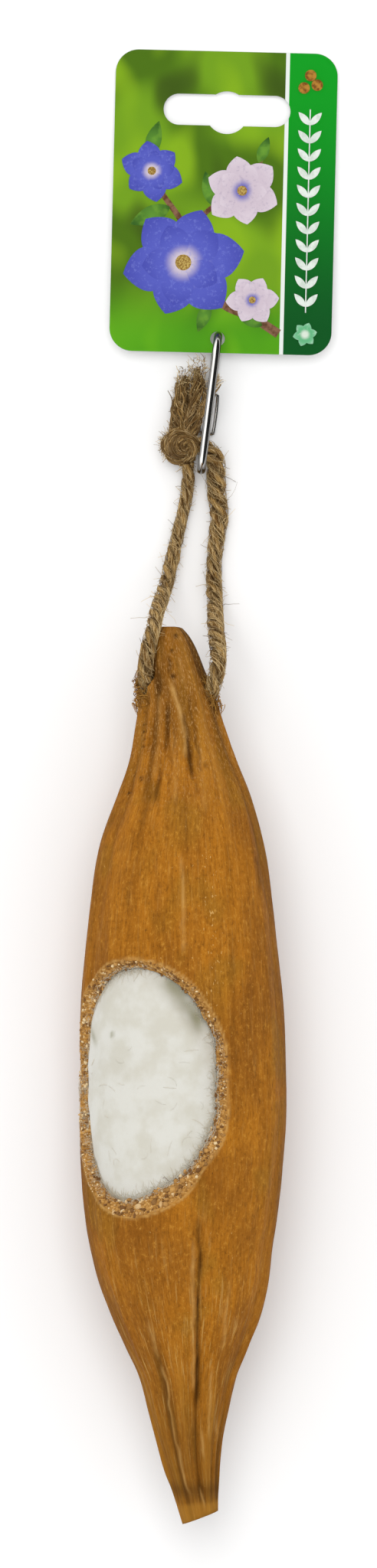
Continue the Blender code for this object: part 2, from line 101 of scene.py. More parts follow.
NOSE_END_AT = 19.0
GATE_WIRE = 0.8
GATE_HALF_WIDTH = 1.8
GATE_LIFT = 1.8
GATE_OPENS = 0.3142
PIN_HOLE = 1.25
CARD_WIDTH = 56.0
CARD_HEIGHT = 76.4
CARD_THICKNESS = 0.8
CARD_CORNER = 5.8
CARD_CENTRE = (10.98, 219.3, 2.31)
CARD_TURN = -1.4
CARD_SLOPE = -2.64
SLOT_CENTRE = (0.3, 23.3)
SLOT_LENGTH = 32.0
SLOT_HEIGHT = 7.9
SLOT_BUMP = 10.8
SLOT_BUMP_DROP = 0.6
PUNCH_CENTRE = (-0.7, -34.6)
PUNCH_DIAMETER = 4.4

# Camera and light
VIEW_CENTRE = (2.12, 72.45, 12.0)
VIEW_HEIGHT = 394.6
CAMERA_DISTANCE = 3000.0
SENSOR = 36.0
FLOOR_HALF = 20.0
FLOOR_COLOUR = (0.93, 0.93, 0.93)
SKY_LEVEL = 0.86
LAMP_PLACE = (-0.12, 0.5, 1.6)
LAMP_SIZE = 1.2
LAMP_AIM = (0.0, 0.05, 0.0)
LAMP_POWER = 11.5
# What shiny surfaces see of the sky, from its far left to its far right
MIRROR_SKY = ((0.0, 0.05), (0.03, 0.05), (0.06, 1.5), (0.455, 1.6), (0.465, 0.02), (1.0, 0.02))


def make_camera():
    camera = bpy.data.cameras.new("camera")
    camera.sensor_width = SENSOR
    camera.lens = SENSOR * (CAMERA_DISTANCE - VIEW_CENTRE[2]) / VIEW_HEIGHT
    camera.clip_start = 0.05
    camera.clip_end = 100.0
    obj = link_new("camera", camera)
    obj.location = Vector((VIEW_CENTRE[0], VIEW_CENTRE[1], CAMERA_DISTANCE)) * MM
    bpy.context.scene.camera = obj


def make_lamp():
    lamp = bpy.data.lights.new("main_light", "AREA")
    lamp.shape = "SQUARE"
    lamp.size = LAMP_SIZE
    lamp.energy = LAMP_POWER
    obj = link_new("main_light", lamp)
    obj.location = LAMP_PLACE
    way = Vector(LAMP_AIM) - Vector(LAMP_PLACE)
    obj.rotation_euler = way.to_track_quat("-Z", "Y").to_euler()
    obj.visible_glossy = False
    obj.visible_camera = False


def make_studio():
    scene = bpy.context.scene
    scene.view_settings.view_transform = "Standard"
    scene.view_settings.look = "None"
    world = bpy.data.worlds.new("studio")
    scene.world = world
    world.use_nodes = True
    nodes, links = world.node_tree.nodes, world.node_tree.links
    even = nodes["Background"]
    even.inputs["Color"].default_value = (1.0, 1.0, 1.0, 1.0)
    even.inputs["Strength"].default_value = SKY_LEVEL
    kinds = ("Background", "TexCoord", "SeparateXYZ", "MapRange", "ValToRGB", "LightPath", "MixShader")
    mirrored, place, split, spread, ramp, rays, either = (nodes.new("ShaderNode" + k) for k in kinds)
    spread.inputs["From Min"].default_value = -1.0
    for output, socket in (
        (place.outputs["Generated"], split.inputs[0]),
        (split.outputs["X"], spread.inputs["Value"]),
        (spread.outputs[0], ramp.inputs["Fac"]),
        (ramp.outputs["Color"], mirrored.inputs["Color"]),
        (rays.outputs["Is Glossy Ray"], either.inputs[0]),
        (even.outputs[0], either.inputs[1]),
        (mirrored.outputs[0], either.inputs[2]),
        (either.outputs[0], nodes["World Output"].inputs["Surface"]),
    ):
        links.new(output, socket)
    stops = ramp.color_ramp.elements
    for stop, (position, level) in zip((stops[0], stops[1]), (MIRROR_SKY[0], MIRROR_SKY[-1])):
        stop.position = position
        stop.color = (level, level, level, 1.0)
    for position, level in MIRROR_SKY[1:-1]:
        stops.new(position).color = (level, level, level, 1.0)
    make_lamp()
    mesh = bpy.data.meshes.new("floor")
    corners = [(-FLOOR_HALF, -FLOOR_HALF, 0), (FLOOR_HALF, -FLOOR_HALF, 0),
               (FLOOR_HALF, FLOOR_HALF, 0), (-FLOOR_HALF, FLOOR_HALF, 0)]
    mesh.from_pydata(corners, [], [(0, 1, 2, 3)])
    floor = link_new("floor", mesh)
    look = Look("floor")
    look.set(Base_Color=FLOOR_COLOUR, Roughness=0.9, Specular_IOR_Level=0.1)
    mesh.materials.append(look.material)


class Look:
    """A Principled material, with short calls that add nodes and link them."""

    def __init__(self, name):
        self.material = bpy.data.materials.new(name)
        self.material.use_nodes = True
        self.nodes = self.material.node_tree.nodes
        self.links = self.material.node_tree.links
        self.shader = self.nodes["Principled BSDF"]

    def put(self, socket, value):
        if hasattr(value, "is_linked"):
            self.links.new(value, socket)
        elif isinstance(value, tuple) and len(value) == 3 and socket.type == "RGBA":
            socket.default_value = (*value, 1.0)
        else:
            socket.default_value = value

    def set(self, **values):
        for name, value in values.items():
            self.put(self.shader.inputs[name.replace("_", " ")], value)

    def add(self, kind, values, output=0, **settings):
        """Adds a node with its settings and inputs, and gives one of its outputs."""
        node = self.nodes.new("ShaderNode" + kind)
        for name, value in settings.items():
            setattr(node, name, value)
        for key, value in values.items():
            self.put(node.inputs[key], value)
        return node.outputs[output]

    def attribute(self, name, output="Vector"):
        return self.add("Attribute", {}, output, attribute_name=name)

    def stretch(self, vector, scale):
        return self.add("VectorMath", {0: vector, 1: scale}, operation="MULTIPLY")

    def noise(self, vector, scale=1.0, detail=4.0, rough=0.55, twist=0.0):
        values = {"Vector": vector, "Scale": scale, "Detail": detail, "Roughness": rough}
        return self.add("TexNoise", {**values, "Distortion": twist}, "Fac")

    def band(self, value, low, high, start=0.0, end=1.0):
        values = {"Value": value, "From Min": low, "From Max": high, "To Min": start, "To Max": end}
        return self.add("MapRange", values, interpolation_type="SMOOTHSTEP")

    def sum(self, kind, a, b):
        return self.add("Math", {0: a, 1: b}, operation=kind)

    def mix(self, factor, a, b):
        return self.add("Mix", {"Factor": factor, 6: a, 7: b}, 2, data_type="RGBA")

    def coat(self, colour, tint, value, low, high, start=0.0, end=1.0):
        """Lays a tint over a colour where a value lies between low and high."""
        return self.mix(self.band(value, low, high, start, end), colour, tint)

    def bump(self, height, strength, distance, normal=None):
        values = {"Height": height, "Strength": strength, "Distance": distance}
        if normal is not None:
            values["Normal"] = normal
        return self.add("Bump", values)


def husk_look():
    look = Look("husk_wood")
    grain = look.attribute("grain")
    names = ("groove", "pale", "rim", "ends", "tip", "wear", "fold_shade_and_highlight", "neck", "scuffs")
    groove, pale, rim, ends, tip, wear, fold_shade_and_highlight, neck, scuffs = (look.attribute(n, "Fac") for n in names)
    patches = look.noise(look.stretch(grain, (0.06, 0.025, 0.06)), 1.0, 3.0, 0.55, 0.8)
    colour = look.mix(look.band(patches, 0.36, 0.64), (0.262, 0.094, 0.010), (0.385, 0.141, 0.011))
    olive = look.noise(look.stretch(grain, (0.05, 0.030, 0.05)), 1.7, 2.0, 0.5, 0.4)
    colour = look.coat(colour, (0.27, 0.125, 0.013), olive, 0.50, 0.66, 0.0, 0.55)
    broad = look.noise(look.stretch(grain, (0.34, 0.045, 0.34)), 1.0, 5.0, 0.66, 0.5)
    colour = look.coat(colour, (0.18, 0.060, 0.005), broad, 0.30, 0.52, 0.42, 0.0)
    colour = look.coat(colour, (0.52, 0.21, 0.018), broad, 0.54, 0.76, 0.0, 0.40)
    fine = look.noise(look.stretch(grain, (2.0, 0.24, 2.0)), 1.0, 5.0, 0.72, 0.2)
    colour = look.coat(colour, (0.15, 0.052, 0.006), fine, 0.32, 0.50, 0.55, 0.0)
    colour = look.coat(colour, (0.58, 0.28, 0.046), fine, 0.55, 0.72, 0.0, 0.48)
    mottle = look.noise(look.stretch(grain, (1.0, 0.7, 1.0)), 1.0, 6.0, 0.8)
    colour = look.coat(colour, (0.15, 0.055, 0.006), mottle, 0.34, 0.48, 0.62, 0.0)
    colour = look.coat(colour, (0.58, 0.28, 0.042), mottle, 0.53, 0.66, 0.0, 0.50)
    scratch = look.noise(look.stretch(grain, (1.5, 0.10, 1.5)), 1.0, 3.0, 0.6)
    scratch = look.sum("MULTIPLY", look.band(scratch, 0.54, 0.72), wear)
    colour = look.mix(scratch, colour, (0.52, 0.30, 0.085))
    # Painted shade in the fold valleys and painted highlight on the fold ridges.
    colour = look.coat(colour, (0.105, 0.037, 0.004), fold_shade_and_highlight, -0.05, -0.80, 0.0, 0.80)
    colour = look.coat(colour, (0.50, 0.22, 0.026), fold_shade_and_highlight, 0.10, 0.75, 0.0, 0.50)
    # Darker neck and tail ends, and painted shade along the pod's sides.
    colour = look.mix(ends, colour, (0.135, 0.060, 0.010))
    # Darker along grooves, pits and the neck's right side, and painted shade in the seam valleys.
    colour = look.mix(groove, colour, (0.045, 0.018, 0.005))
    colour = look.mix(pale, colour, (0.55, 0.32, 0.10))
    fleck = look.noise(look.stretch(grain, (1.9, 0.8, 1.9)), 1.0, 3.0, 0.6)
    fleck = look.band(look.sum("ADD", fleck, look.sum("MULTIPLY", scuffs, 0.09)), 0.70, 0.76, 0.0, 0.8)
    colour = look.mix(fleck, colour, (0.62, 0.37, 0.12))
    pore = look.noise(look.stretch(grain, (2.4, 0.45, 2.4)), 1.3, 2.0, 0.5)
    colour = look.coat(colour, (0.06, 0.025, 0.008), pore, 0.29, 0.22, 0.0, 0.80)
    speck = look.noise(look.stretch(grain, (1.1, 0.75, 1.1)), 1.6, 2.0, 0.5)
    speck = look.band(look.sum("SUBTRACT", speck, look.sum("MULTIPLY", neck, 0.06)), 0.24, 0.19, 0.0, 0.8)
    colour = look.mix(speck, colour, (0.07, 0.028, 0.006))
    mealy = look.noise(look.stretch(grain, (1.5, 0.9, 1.5)), 1.1, 4.0, 0.72)
    mealy = look.sum("MULTIPLY", look.band(mealy, 0.52, 0.66, 0.0, 0.62), neck)
    colour = look.mix(mealy, colour, (0.55, 0.32, 0.12))
    colour = look.mix(tip, colour, (0.47, 0.22, 0.030))
    crumb = look.noise(look.stretch(grain, (1.5, 1.5, 1.5)), 1.0, 5.0, 0.7)
    rim_colour = look.mix(look.band(crumb, 0.35, 0.65), (0.26, 0.115, 0.026), (0.58, 0.31, 0.085))
    rim_colour = look.mix(look.band(crumb, 0.58, 0.66), rim_colour, (0.68, 0.50, 0.26))
    colour = look.mix(rim, colour, rim_colour)
    look.set(Base_Color=colour, Roughness=look.band(fine, 0.3, 0.7, 0.68, 0.52))
    look.set(Specular_IOR_Level=0.03)
    normal = look.bump(fine, 0.35, 0.0005)
    look.set(Normal=look.bump(mottle, 0.12, 0.0006, normal))
    return look.material


def crumb_look():
    look = Look("rim_crumb")
    place = look.add("TexCoord", {}, "Object")
    tone = look.attribute("tone", "Fac")
    grit = look.noise(place, 1400.0, 4.0, 0.7)
    colour = look.mix(look.band(tone, 0.15, 0.85), (0.17, 0.070, 0.013), (0.54, 0.285, 0.075))
    colour = look.coat(colour, (0.80, 0.61, 0.34), tone, 0.80, 0.95)
    colour = look.coat(colour, (0.15, 0.062, 0.014), grit, 0.3, 0.6, 0.3, 0.0)
    look.set(Base_Color=colour, Roughness=0.8)
    look.set(Normal=look.bump(grit, 0.5, 0.0002))
    return look.material


def floss_look():
    look = Look("floss")
    place = look.add("TexCoord", {}, "Object")
    billow = look.noise(place, 130.0, 4.0, 0.55)
    wisps = look.noise(look.stretch(place, (1.0, 0.6, 1.0)), 900.0, 4.0, 0.7, 1.5)
    colour = look.mix(look.band(billow, 0.35, 0.62), (0.57, 0.55, 0.475), (0.64, 0.63, 0.575))
    colour = look.coat(colour, (0.54, 0.515, 0.44), wisps, 0.3, 0.5, 0.12, 0.0)
    # Grey-olive for the seed speck and smudge, and painted shadow along the window's rim.
    stain_and_rim_shadow = look.attribute("stain_and_rim_shadow", "Fac")
    colour = look.mix(stain_and_rim_shadow, colour, (0.235, 0.225, 0.125))
    look.set(Base_Color=colour, Roughness=0.95)
    look.set(Specular_IOR_Level=0.15)
    look.set(Sheen_Weight=0.25)
    look.set(Normal=look.bump(wisps, 0.12, 0.0003))
    return look.material


def fibre_look(name, dark, light, roughness=0.8):
    look = Look(name)
    tone = look.attribute("tone", "Fac")
    look.set(Base_Color=look.mix(tone, dark, light), Roughness=roughness)
    look.set(Specular_IOR_Level=0.25)
    return look.material


def jute_look():
    look = Look("jute")
    fibre = look.attribute("fibre")
    tone = look.attribute("tone", "Fac")
    fine = look.noise(look.stretch(fibre, (5.0, 0.35, 5.0)), 1.0, 4.0, 0.65)
    broad = look.noise(look.stretch(fibre, (1.2, 0.16, 1.2)), 1.0, 3.0, 0.5)
    colour = look.mix(look.band(broad, 0.38, 0.62), (0.125, 0.056, 0.010), (0.40, 0.235, 0.068))
    colour = look.coat(colour, (0.050, 0.022, 0.005), fine, 0.34, 0.50, 0.85, 0.0)
    colour = look.coat(colour, (0.76, 0.57, 0.29), fine, 0.52, 0.63, 0.0, 0.90)
    # Low tone darkens: painted shade between the cord's strands and in the knot's core, and darker yarns at
    # random in the knot.
    colour = look.mix(tone, (0.070, 0.032, 0.007), colour)
    look.set(Base_Color=colour, Roughness=0.75)
    look.set(Specular_IOR_Level=0.2)
    look.set(Normal=look.bump(fine, 0.8, 0.00025))
    return look.material


def steel_look():
    look = Look("clip_steel")
    place = look.add("TexCoord", {}, "Object")
    wear = look.noise(look.stretch(place, (900.0, 120.0, 900.0)), 1.0, 4.0, 0.6)
    facing = look.add("LayerWeight", {}, "Facing")
    steel = look.mix(wear, (0.62, 0.60, 0.57), (0.80, 0.79, 0.77))
    # Painted shade: the steel is painted darker where the wire turns away from the view, a dark outline
    # along its edges.
    look.set(Base_Color=look.mix(look.band(facing, 0.18, 0.50, 0.0, 0.92), steel, (0.07, 0.066, 0.06)))
    look.set(Roughness=look.band(wear, 0.3, 0.7, 0.06, 0.12))
    look.set(Metallic=1.0)
    return look.material


def lattice(x, y, z, seed):
    n = (x * 73856093) ^ (y * 19349663) ^ (z * 83492791) ^ (seed * 40503077)
    n = ((n ^ (n >> 13)) * 1274126177) & 0xFFFFFFFF
    n = ((n ^ (n >> 15)) * 668265263) & 0xFFFFFFFF
    return ((n >> 8) & 0xFFFF) / 32767.5 - 1.0


def soft_noise(points, seed):
    """Smooth noise from -1 to 1 at rows of points, one change of value per unit."""
    base = np.floor(points).astype(np.int64)
    part = points - base
    part = part * part * (3 - 2 * part)
    total = 0.0
    for corner in range(8):
        step = (corner & 1, corner >> 1 & 1, corner >> 2 & 1)
        weight = 1.0
        for axis in range(3):
            weight = weight * (part[..., axis] if step[axis] else 1 - part[..., axis])
        spot = [base[..., axis] + step[axis] for axis in range(3)]
        total = total + weight * lattice(*spot, seed)
    return total


def rich_noise(points, seed, octaves=3):
    total, share, size = 0.0, 1.0, 0.0
    for octave in range(octaves):
        total = total + share * soft_noise(points * 2.0**octave, seed + octave)
        size += share
        share *= 0.5
    return total / size


def hump(value, width):
    return np.exp(-((value / width) ** 2))


def smooth_step(low, high, value):
    t = np.clip((value - low) / (high - low), 0.0, 1.0)
    return t * t * (3 - 2 * t)


def angle_between(a, b):
    return (a - b + 180.0) % 360.0 - 180.0


def through_stations(place):
    low = 0
    while low < len(HUSK_STATIONS) - 2 and HUSK_STATIONS[low + 1][0] < place:
        low += 1
    a, b = HUSK_STATIONS[low], HUSK_STATIONS[low + 1]
    before = HUSK_STATIONS[max(low - 1, 0)]
    after = HUSK_STATIONS[min(low + 2, len(HUSK_STATIONS) - 1)]
    span = b[0] - a[0]
    t = min(max((place - a[0]) / span, 0.0), 1.0)
    values = []
    for column in (1, 2):
        slope_a = (b[column] - before[column]) / (b[0] - before[0]) * span
        slope_b = (after[column] - a[column]) / (after[0] - a[0]) * span
        values.append(
            (2 * t**3 - 3 * t**2 + 1) * a[column]
            + (t**3 - 2 * t**2 + t) * slope_a
            + (-2 * t**3 + 3 * t**2) * b[column]
            + (t**3 - t**2) * slope_b
        )
    return values


FINE_PLACES = np.linspace(HUSK_STATIONS[0][0], HUSK_STATIONS[-1][0], 1200)
FINE_VALUES = np.array([through_stations(p) for p in FINE_PLACES])


def axis_drift(place):
    return np.interp(place, FINE_PLACES, FINE_VALUES[:, 0])


def half_width(place):
    return np.interp(place, FINE_PLACES, FINE_VALUES[:, 1])


def axis_height(place):
    return AXIS_HEIGHT - END_DROOP * (place / 112.0) ** 4


def husk_relief(angle, place):
    towards_end = smooth_step(35.0, 85.0, np.abs(place))
    fade = 1.0 - smooth_step(98.0, 112.0, np.abs(place))
    relief = 0.0
    for seam_angle, depth in SEAMS:
        off = angle_between(angle, seam_angle + 3.0 * np.sin(place / 31.0 + seam_angle))
        strength = depth * (0.65 + 0.35 * towards_end)
        relief = relief - strength * hump(off, SEAM_WIDTH)
        lip = hump(np.abs(off) - SEAM_LIP_ANGLE, SEAM_LIP_WIDTH)
        relief = relief + strength * SEAM_LIP_SHARE * lip
    flute = FLUTE_MIDDLE + (FLUTE_ENDS - FLUTE_MIDDLE) * towards_end
    phase = FLUTE_COUNT * np.radians(angle) + 1.3 * np.sin(place / 40.0)
    relief = relief + flute * np.cos(phase) * (0.7 + 0.3 * np.sin(np.radians(3 * angle)))
    return relief * fade


def pod_points(angle, place, change):
    """Rows of points on the pod at angles from straight up, moved outwards by change."""
    half, turn = half_width(place), np.radians(angle)
    x = axis_drift(place) + (half + change) * np.sin(turn)
    z = axis_height(place) + (half * DEPTH_TO_WIDTH + change) * np.cos(turn)
    return np.stack(np.broadcast_arrays(x, place, z), axis=-1)


def ring_grid(places, segments):
    """Angles round the pod and places along it, for rings of so many points."""
    angle = (360.0 * np.arange(segments) / segments)[None, :]
    return np.broadcast_arrays(angle, places[:, None])


def cavity_change(place):
    end_share = np.abs(place - (CAVITY_LOW + CAVITY_HIGH) / 2) / ((CAVITY_HIGH - CAVITY_LOW) / 2)
    rounding = 1.0 - np.sqrt(np.maximum(1.0 - np.minimum(end_share, 1.0) ** 12, 0.02))
    return -HUSK_WALL - (half_width(place) - HUSK_WALL) * rounding


# Reach of the cut's edge on the skin and on the inner wall, every 15 degrees from the right
SKIN_EDGE = (24.4, 25.4, 27.3, 28.8, 31.0, 32.2, 32.5, 32.2, 30.9, 30.3, 28.9, 27.4,
             26.4, 26.6, 27.2, 28.0, 29.3, 30.8, 31.2, 30.5, 29.2, 26.6, 26.5, 25.4)
WALL_EDGE = (22.8, 23.9, 26.2, 27.2, 29.1, 30.2, 30.6, 30.2, 29.0, 28.4, 27.4, 26.4,
             25.8, 26.0, 26.5, 27.0, 27.9, 28.0, 27.0, 25.5, 24.9, 24.1, 23.5, 23.5)
EDGE_NOTCHES = ((167.0, 7.0, 2.6), (188.0, 6.0, 1.5), (204.0, 5.0, 0.9))


def through_turns(reaches, turn):
    fine = np.arange(0.0, 360.0, 0.5)
    step = fine / 360.0 * len(reaches)
    k = step.astype(int)
    t = step - k
    a, b, c, d = (np.take(reaches, (k + n) % len(reaches)) for n in (-1, 0, 1, 2))
    smooth = b + 0.5 * t * (c - a + t * (2 * a - 5 * b + 4 * c - d + t * (3 * (b - c) + d - a)))
    return np.interp(turn, fine, smooth, period=360.0)


def edge_notches(turn):
    total = 0.0
    for middle, spread, depth in EDGE_NOTCHES:
        total = total + depth * hump(angle_between(turn, middle), spread)
    return total


def skin_edge(turn):
    return through_turns(SKIN_EDGE, turn) + edge_notches(turn)


def wall_edge(turn):
    return through_turns(WALL_EDGE, turn) + 0.6 * edge_notches(turn)


def window_place(turn, reach):
    across, along = reach * np.cos(np.radians(turn)), reach * np.sin(np.radians(turn))
    return WINDOW_ANGLE + np.degrees(across / WINDOW_ARC_RADIUS), WINDOW_PLACE + along


def window_polar(angle, place):
    across = np.radians(angle_between(angle, WINDOW_ANGLE)) * WINDOW_ARC_RADIUS
    along = place - WINDOW_PLACE
    return np.degrees(np.arctan2(along, across)), np.hypot(across, along)


def smooth_route(route, spacing):
    """Rows of points at an even spacing on a smooth curve through the route's points."""
    points = [np.array(p, float) for p in route]
    fine = []
    for k in range(len(points) - 1):
        a, b = points[max(k - 1, 0)], points[k]
        c, d = points[k + 1], points[min(k + 2, len(points) - 1)]
        for step in range(24):
            t = step / 24
            bend = 2 * a - 5 * b + 4 * c - d + t * (3 * (b - c) + d - a)
            fine.append(b + 0.5 * t * (c - a + t * bend))
    fine.append(points[-1])
    fine = np.array(fine)
    lengths = np.concatenate([[0.0], np.cumsum(np.linalg.norm(np.diff(fine, axis=0), axis=1))])
    count = max(round(lengths[-1] / spacing), 2)
    goals = np.linspace(0.0, lengths[-1], count + 1)
    return np.stack([np.interp(goals, lengths, fine[:, axis]) for axis in range(3)], axis=-1)


def unit(vectors):
    return vectors / np.linalg.norm(vectors, axis=-1, keepdims=True)


def about(side, up, turn):
    """Directions that turn from side to up."""
    return side * np.cos(turn)[..., None] + up * np.sin(turn)[..., None]


def smooth_shade(mesh, sharp):
    mesh.shade_smooth()
    mesh.set_sharp_from_angle(angle=math.radians(sharp))


def mesh_points(mesh):
    points = np.empty(len(mesh.vertices) * 3)
    mesh.vertices.foreach_get("co", points)
    return points.reshape(-1, 3) / MM


def make_mesh(name, points, faces, material):
    mesh = bpy.data.meshes.new(name)
    mesh.from_pydata((np.asarray(points, float) * MM).tolist(), [], [tuple(f) for f in faces])
    mesh.materials.append(material)
    mesh.shade_smooth()
    return mesh


def link_new(name, data):
    obj = bpy.data.objects.new(name, data)
    bpy.context.scene.collection.objects.link(obj)
    return obj


def make_piece(name, points, faces, material, body="pod", stands_for=()):
    obj = link_new(name, make_mesh(name, points, faces, material))
    return settle(obj, body, stands_for)


def settle(obj, body="pod", stands_for=()):
    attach(obj, body)
    if stands_for:
        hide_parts(*stands_for)
    return obj


def add_values(mesh, name, values):
    values = np.asarray(values, float)
    if values.ndim == 2:
        mesh.attributes.new(name, "FLOAT_VECTOR", "POINT").data.foreach_set("vector", values.ravel())
    else:
        mesh.attributes.new(name, "FLOAT", "POINT").data.foreach_set("value", values)


def outward(obj):
    work = bmesh.new()
    work.from_mesh(obj.data)
    bmesh.ops.recalc_face_normals(work, faces=work.faces)
    if work.calc_volume(signed=True) < 0.0:
        bmesh.ops.reverse_faces(work, faces=work.faces)
    work.to_mesh(obj.data)
    work.free()


def skin_rings(rings):
    """Points and faces of a closed skin over an array of rings, with a fan at each end."""
    rows, count = rings.shape[:2]
    points = list(rings.reshape(-1, 3))
    here = (np.arange(rows - 1)[:, None] * count + np.arange(count)[None, :]).ravel()
    side = (np.arange(rows - 1)[:, None] * count + (np.arange(count) + 1)[None, :] % count).ravel()
    faces = np.stack([here, side, side + count, here + count], axis=1).tolist()
    for row in (0, rows - 1):
        points.append(rings[row].mean(axis=0))
        for k in range(count):
            ends = (row * count + k, row * count + (k + 1) % count)
            faces.append((*(ends if row else ends[::-1]), len(points) - 1))
    return np.array(points), faces


def along_frames(points, closed=False):
    """Side and up vectors along a line, which turn as little as they can."""
    if closed:
        tangent = np.roll(points, -1, axis=0) - np.roll(points, 1, axis=0)
    else:
        tangent = np.gradient(points, axis=0)
    tangent = unit(tangent)
    side = np.cross(tangent[0], (0.0, 0.0, 1.0))
    if np.linalg.norm(side) < 0.1:
        side = np.cross(tangent[0], (1.0, 0.0, 0.0))
    sides = []
    for direction in tangent:
        side = unit(side - direction * side.dot(direction))
        sides.append(side)
    sides = np.array(sides)
    return sides, np.cross(sides, tangent)


def round_wire(points, radius, sides, closed=False):
    """Rings of a round wire along a line."""
    side, up = along_frames(points, closed)
    turn = 2 * np.pi * np.arange(sides) / sides
    radius = np.broadcast_to(np.asarray(radius, float), len(points))[:, None, None]
    return points[:, None] + about(side[:, None], up[:, None], turn) * radius


def loop_faces(rows, count):
    faces = []
    for row in range(rows):
        for k in range(count):
            m, n = (k + 1) % count, (row + 1) % rows
            faces.append((row * count + k, row * count + m, n * count + m, n * count + k))
    return faces


def fine_tubes(paths, radii, sides):
    """Many thin tubes at once: paths are (tubes, points, 3) and radii (tubes, points)."""
    tubes, steps = paths.shape[:2]
    tangent = np.gradient(paths, axis=1)
    tangent /= np.maximum(np.linalg.norm(tangent, axis=2), 1e-9)[..., None]
    guide = np.array((0.31, 0.22, 0.93))
    side = np.cross(tangent, guide)
    side /= np.maximum(np.linalg.norm(side, axis=2), 1e-9)[..., None]
    up = np.cross(tangent, side)
    turn = 2 * np.pi * np.arange(sides) / sides
    spread = about(side[:, :, None], up[:, :, None], turn)
    points = (paths[:, :, None] + spread * radii[:, :, None, None]).reshape(-1, 3)
    start = np.arange(tubes)[:, None, None] * steps * sides
    row = np.arange(steps - 1)[None, :, None] * sides
    k = np.arange(sides)[None, None, :]
    m = (k + 1) % sides
    quads = np.stack([start + row + k, start + row + m, start + row + sides + m,
                      start + row + sides + k], axis=-1).reshape(-1, 4).tolist()
    ends = np.arange(tubes)[:, None] * steps * sides
    caps = (ends + np.arange(sides)[None, ::-1]).tolist()
    caps += (ends + (steps - 1) * sides + np.arange(sides)[None, :]).tolist()
    return points, quads + caps


HAIR_SIDES = 3


def make_fibres(name, paths, radii, tones, material):
    points, faces = fine_tubes(paths, radii, HAIR_SIDES)
    obj = make_piece(name, points, faces, material)
    add_values(obj.data, "tone", np.repeat(tones, paths.shape[1] * HAIR_SIDES))
    outward(obj)
    return obj


STRANDS = 3
STRAND_OFFSET = 0.98
STRAND_RADIUS = 1.0
ROPE_LAY = 12.5
ROPE_STEP = 0.4
STRAND_SIDES = 16
YARN_LAY = 9.0
# Least heights over the surface
ROPE_CLEARANCE = 0.05
FIBRE_CLEARANCE = 0.1
HAIR_CLEARANCE = 0.12
HAIR_STEPS = 6
# Hairs and fibres on each leg of the cord, and how far out they start for a leg of size 1
ROPE_HAIRS = 620
ROPE_HAIRS_OUT = 1.9
LONG_HAIR_SHARE = 0.07
LYING_FIBRES = 720
LYING_FIBRES_OUT = 1.84


def rope_points(line, size, seed):
    """Strand rings twisted round a line, with yarn grooves, loose spots, fibre directions and tones that
    paint shade into the gaps between strands and yarns.
    """
    side, up = along_frames(line)
    step = np.linalg.norm(np.diff(line, axis=0), axis=1)
    run = np.concatenate([[0.0], np.cumsum(step)])
    length = run[-1]
    turns = length / ROPE_LAY
    all_points, all_faces, fibres, tones = [], [], [], []
    for strand in range(STRANDS):
        phase = 2 * np.pi * (strand / STRANDS + turns * run / length)
        wobble = soft_noise(np.stack([run / 4.0, run * 0 + strand, run * 0 + seed], -1), seed)
        offset = STRAND_OFFSET * size * (1 + 0.20 * wobble)
        centre = line + about(side, up, phase) * offset[:, None]
        swell = soft_noise(np.stack([run / 2.6, run * 0 + 9 + strand, run * 0 + seed], -1), seed + 3)
        angle = 2 * np.pi * np.arange(STRAND_SIDES) / STRAND_SIDES
        twist = phase[:, None] + angle[None, :]
        yarn = angle[None, :] + 2 * np.pi * run[:, None] / YARN_LAY
        grooves = 0.09 * np.cos(6 * yarn + 2.0 * swell[:, None]) + 0.05 * np.cos(13 * yarn + strand)
        radius = STRAND_RADIUS * size[:, None] * (1 + 0.15 * swell[:, None] + grooves)
        ring = centre[:, None] + about(side[:, None], up[:, None], twist) * radius[..., None]
        base = sum(len(p) for p in all_points)
        points, faces = skin_rings(ring)
        all_points.append(points)
        all_faces += [tuple(v + base for v in face) for face in faces]
        spot = np.stack([np.cos(yarn) * 1.3, np.broadcast_to(run[:, None], yarn.shape) + 40 * strand,
                         np.sin(yarn) * 1.3], axis=-1).reshape(-1, 3)
        away = np.cos(angle)[None, :] * np.ones(len(line))[:, None]
        # Painted shade: darker on the strand's inner side, where it faces the other strands, and in the yarn
        # grooves.
        tone = smooth_step(-0.55, 0.50, away + 2.5 * grooves + 0.25 * swell[:, None]).ravel()
        extra = len(points) - len(spot)
        fibres.append(np.concatenate([spot, np.zeros((extra, 3))]))
        tones.append(np.concatenate([tone, np.full(extra, 0.5)]))
    points = np.concatenate(all_points)
    points[:, 2] = np.maximum(points[:, 2], ROPE_CLEARANCE)
    return points, all_faces, np.concatenate(fibres), np.concatenate(tones)


def above(paths, height):
    paths[..., 2] = np.maximum(paths[..., 2], height)
    return paths


def hair_radii(rng, count, start, end):
    """Radii of hairs that get thinner along their length and differ from each other."""
    return np.linspace(start, end, HAIR_STEPS)[None, :] * (0.7 + 0.6 * rng.random(count))[:, None]


def hair_paths(starts, ways, lengths, rng, curl):
    """Bent hairs that leave their starts along their ways."""
    count, steps = len(starts), HAIR_STEPS
    bend = rng.normal(size=(count, 3)) * curl
    t = np.linspace(0.0, 1.0, steps)[None, :, None]
    reach = lengths[:, None, None]
    kink = rng.normal(size=(count, steps, 3)) * 0.05 * reach
    kink[:, 0] = 0.0
    return starts[:, None] + ways[:, None] * t * reach + bend[:, None] * t * t * reach + kink


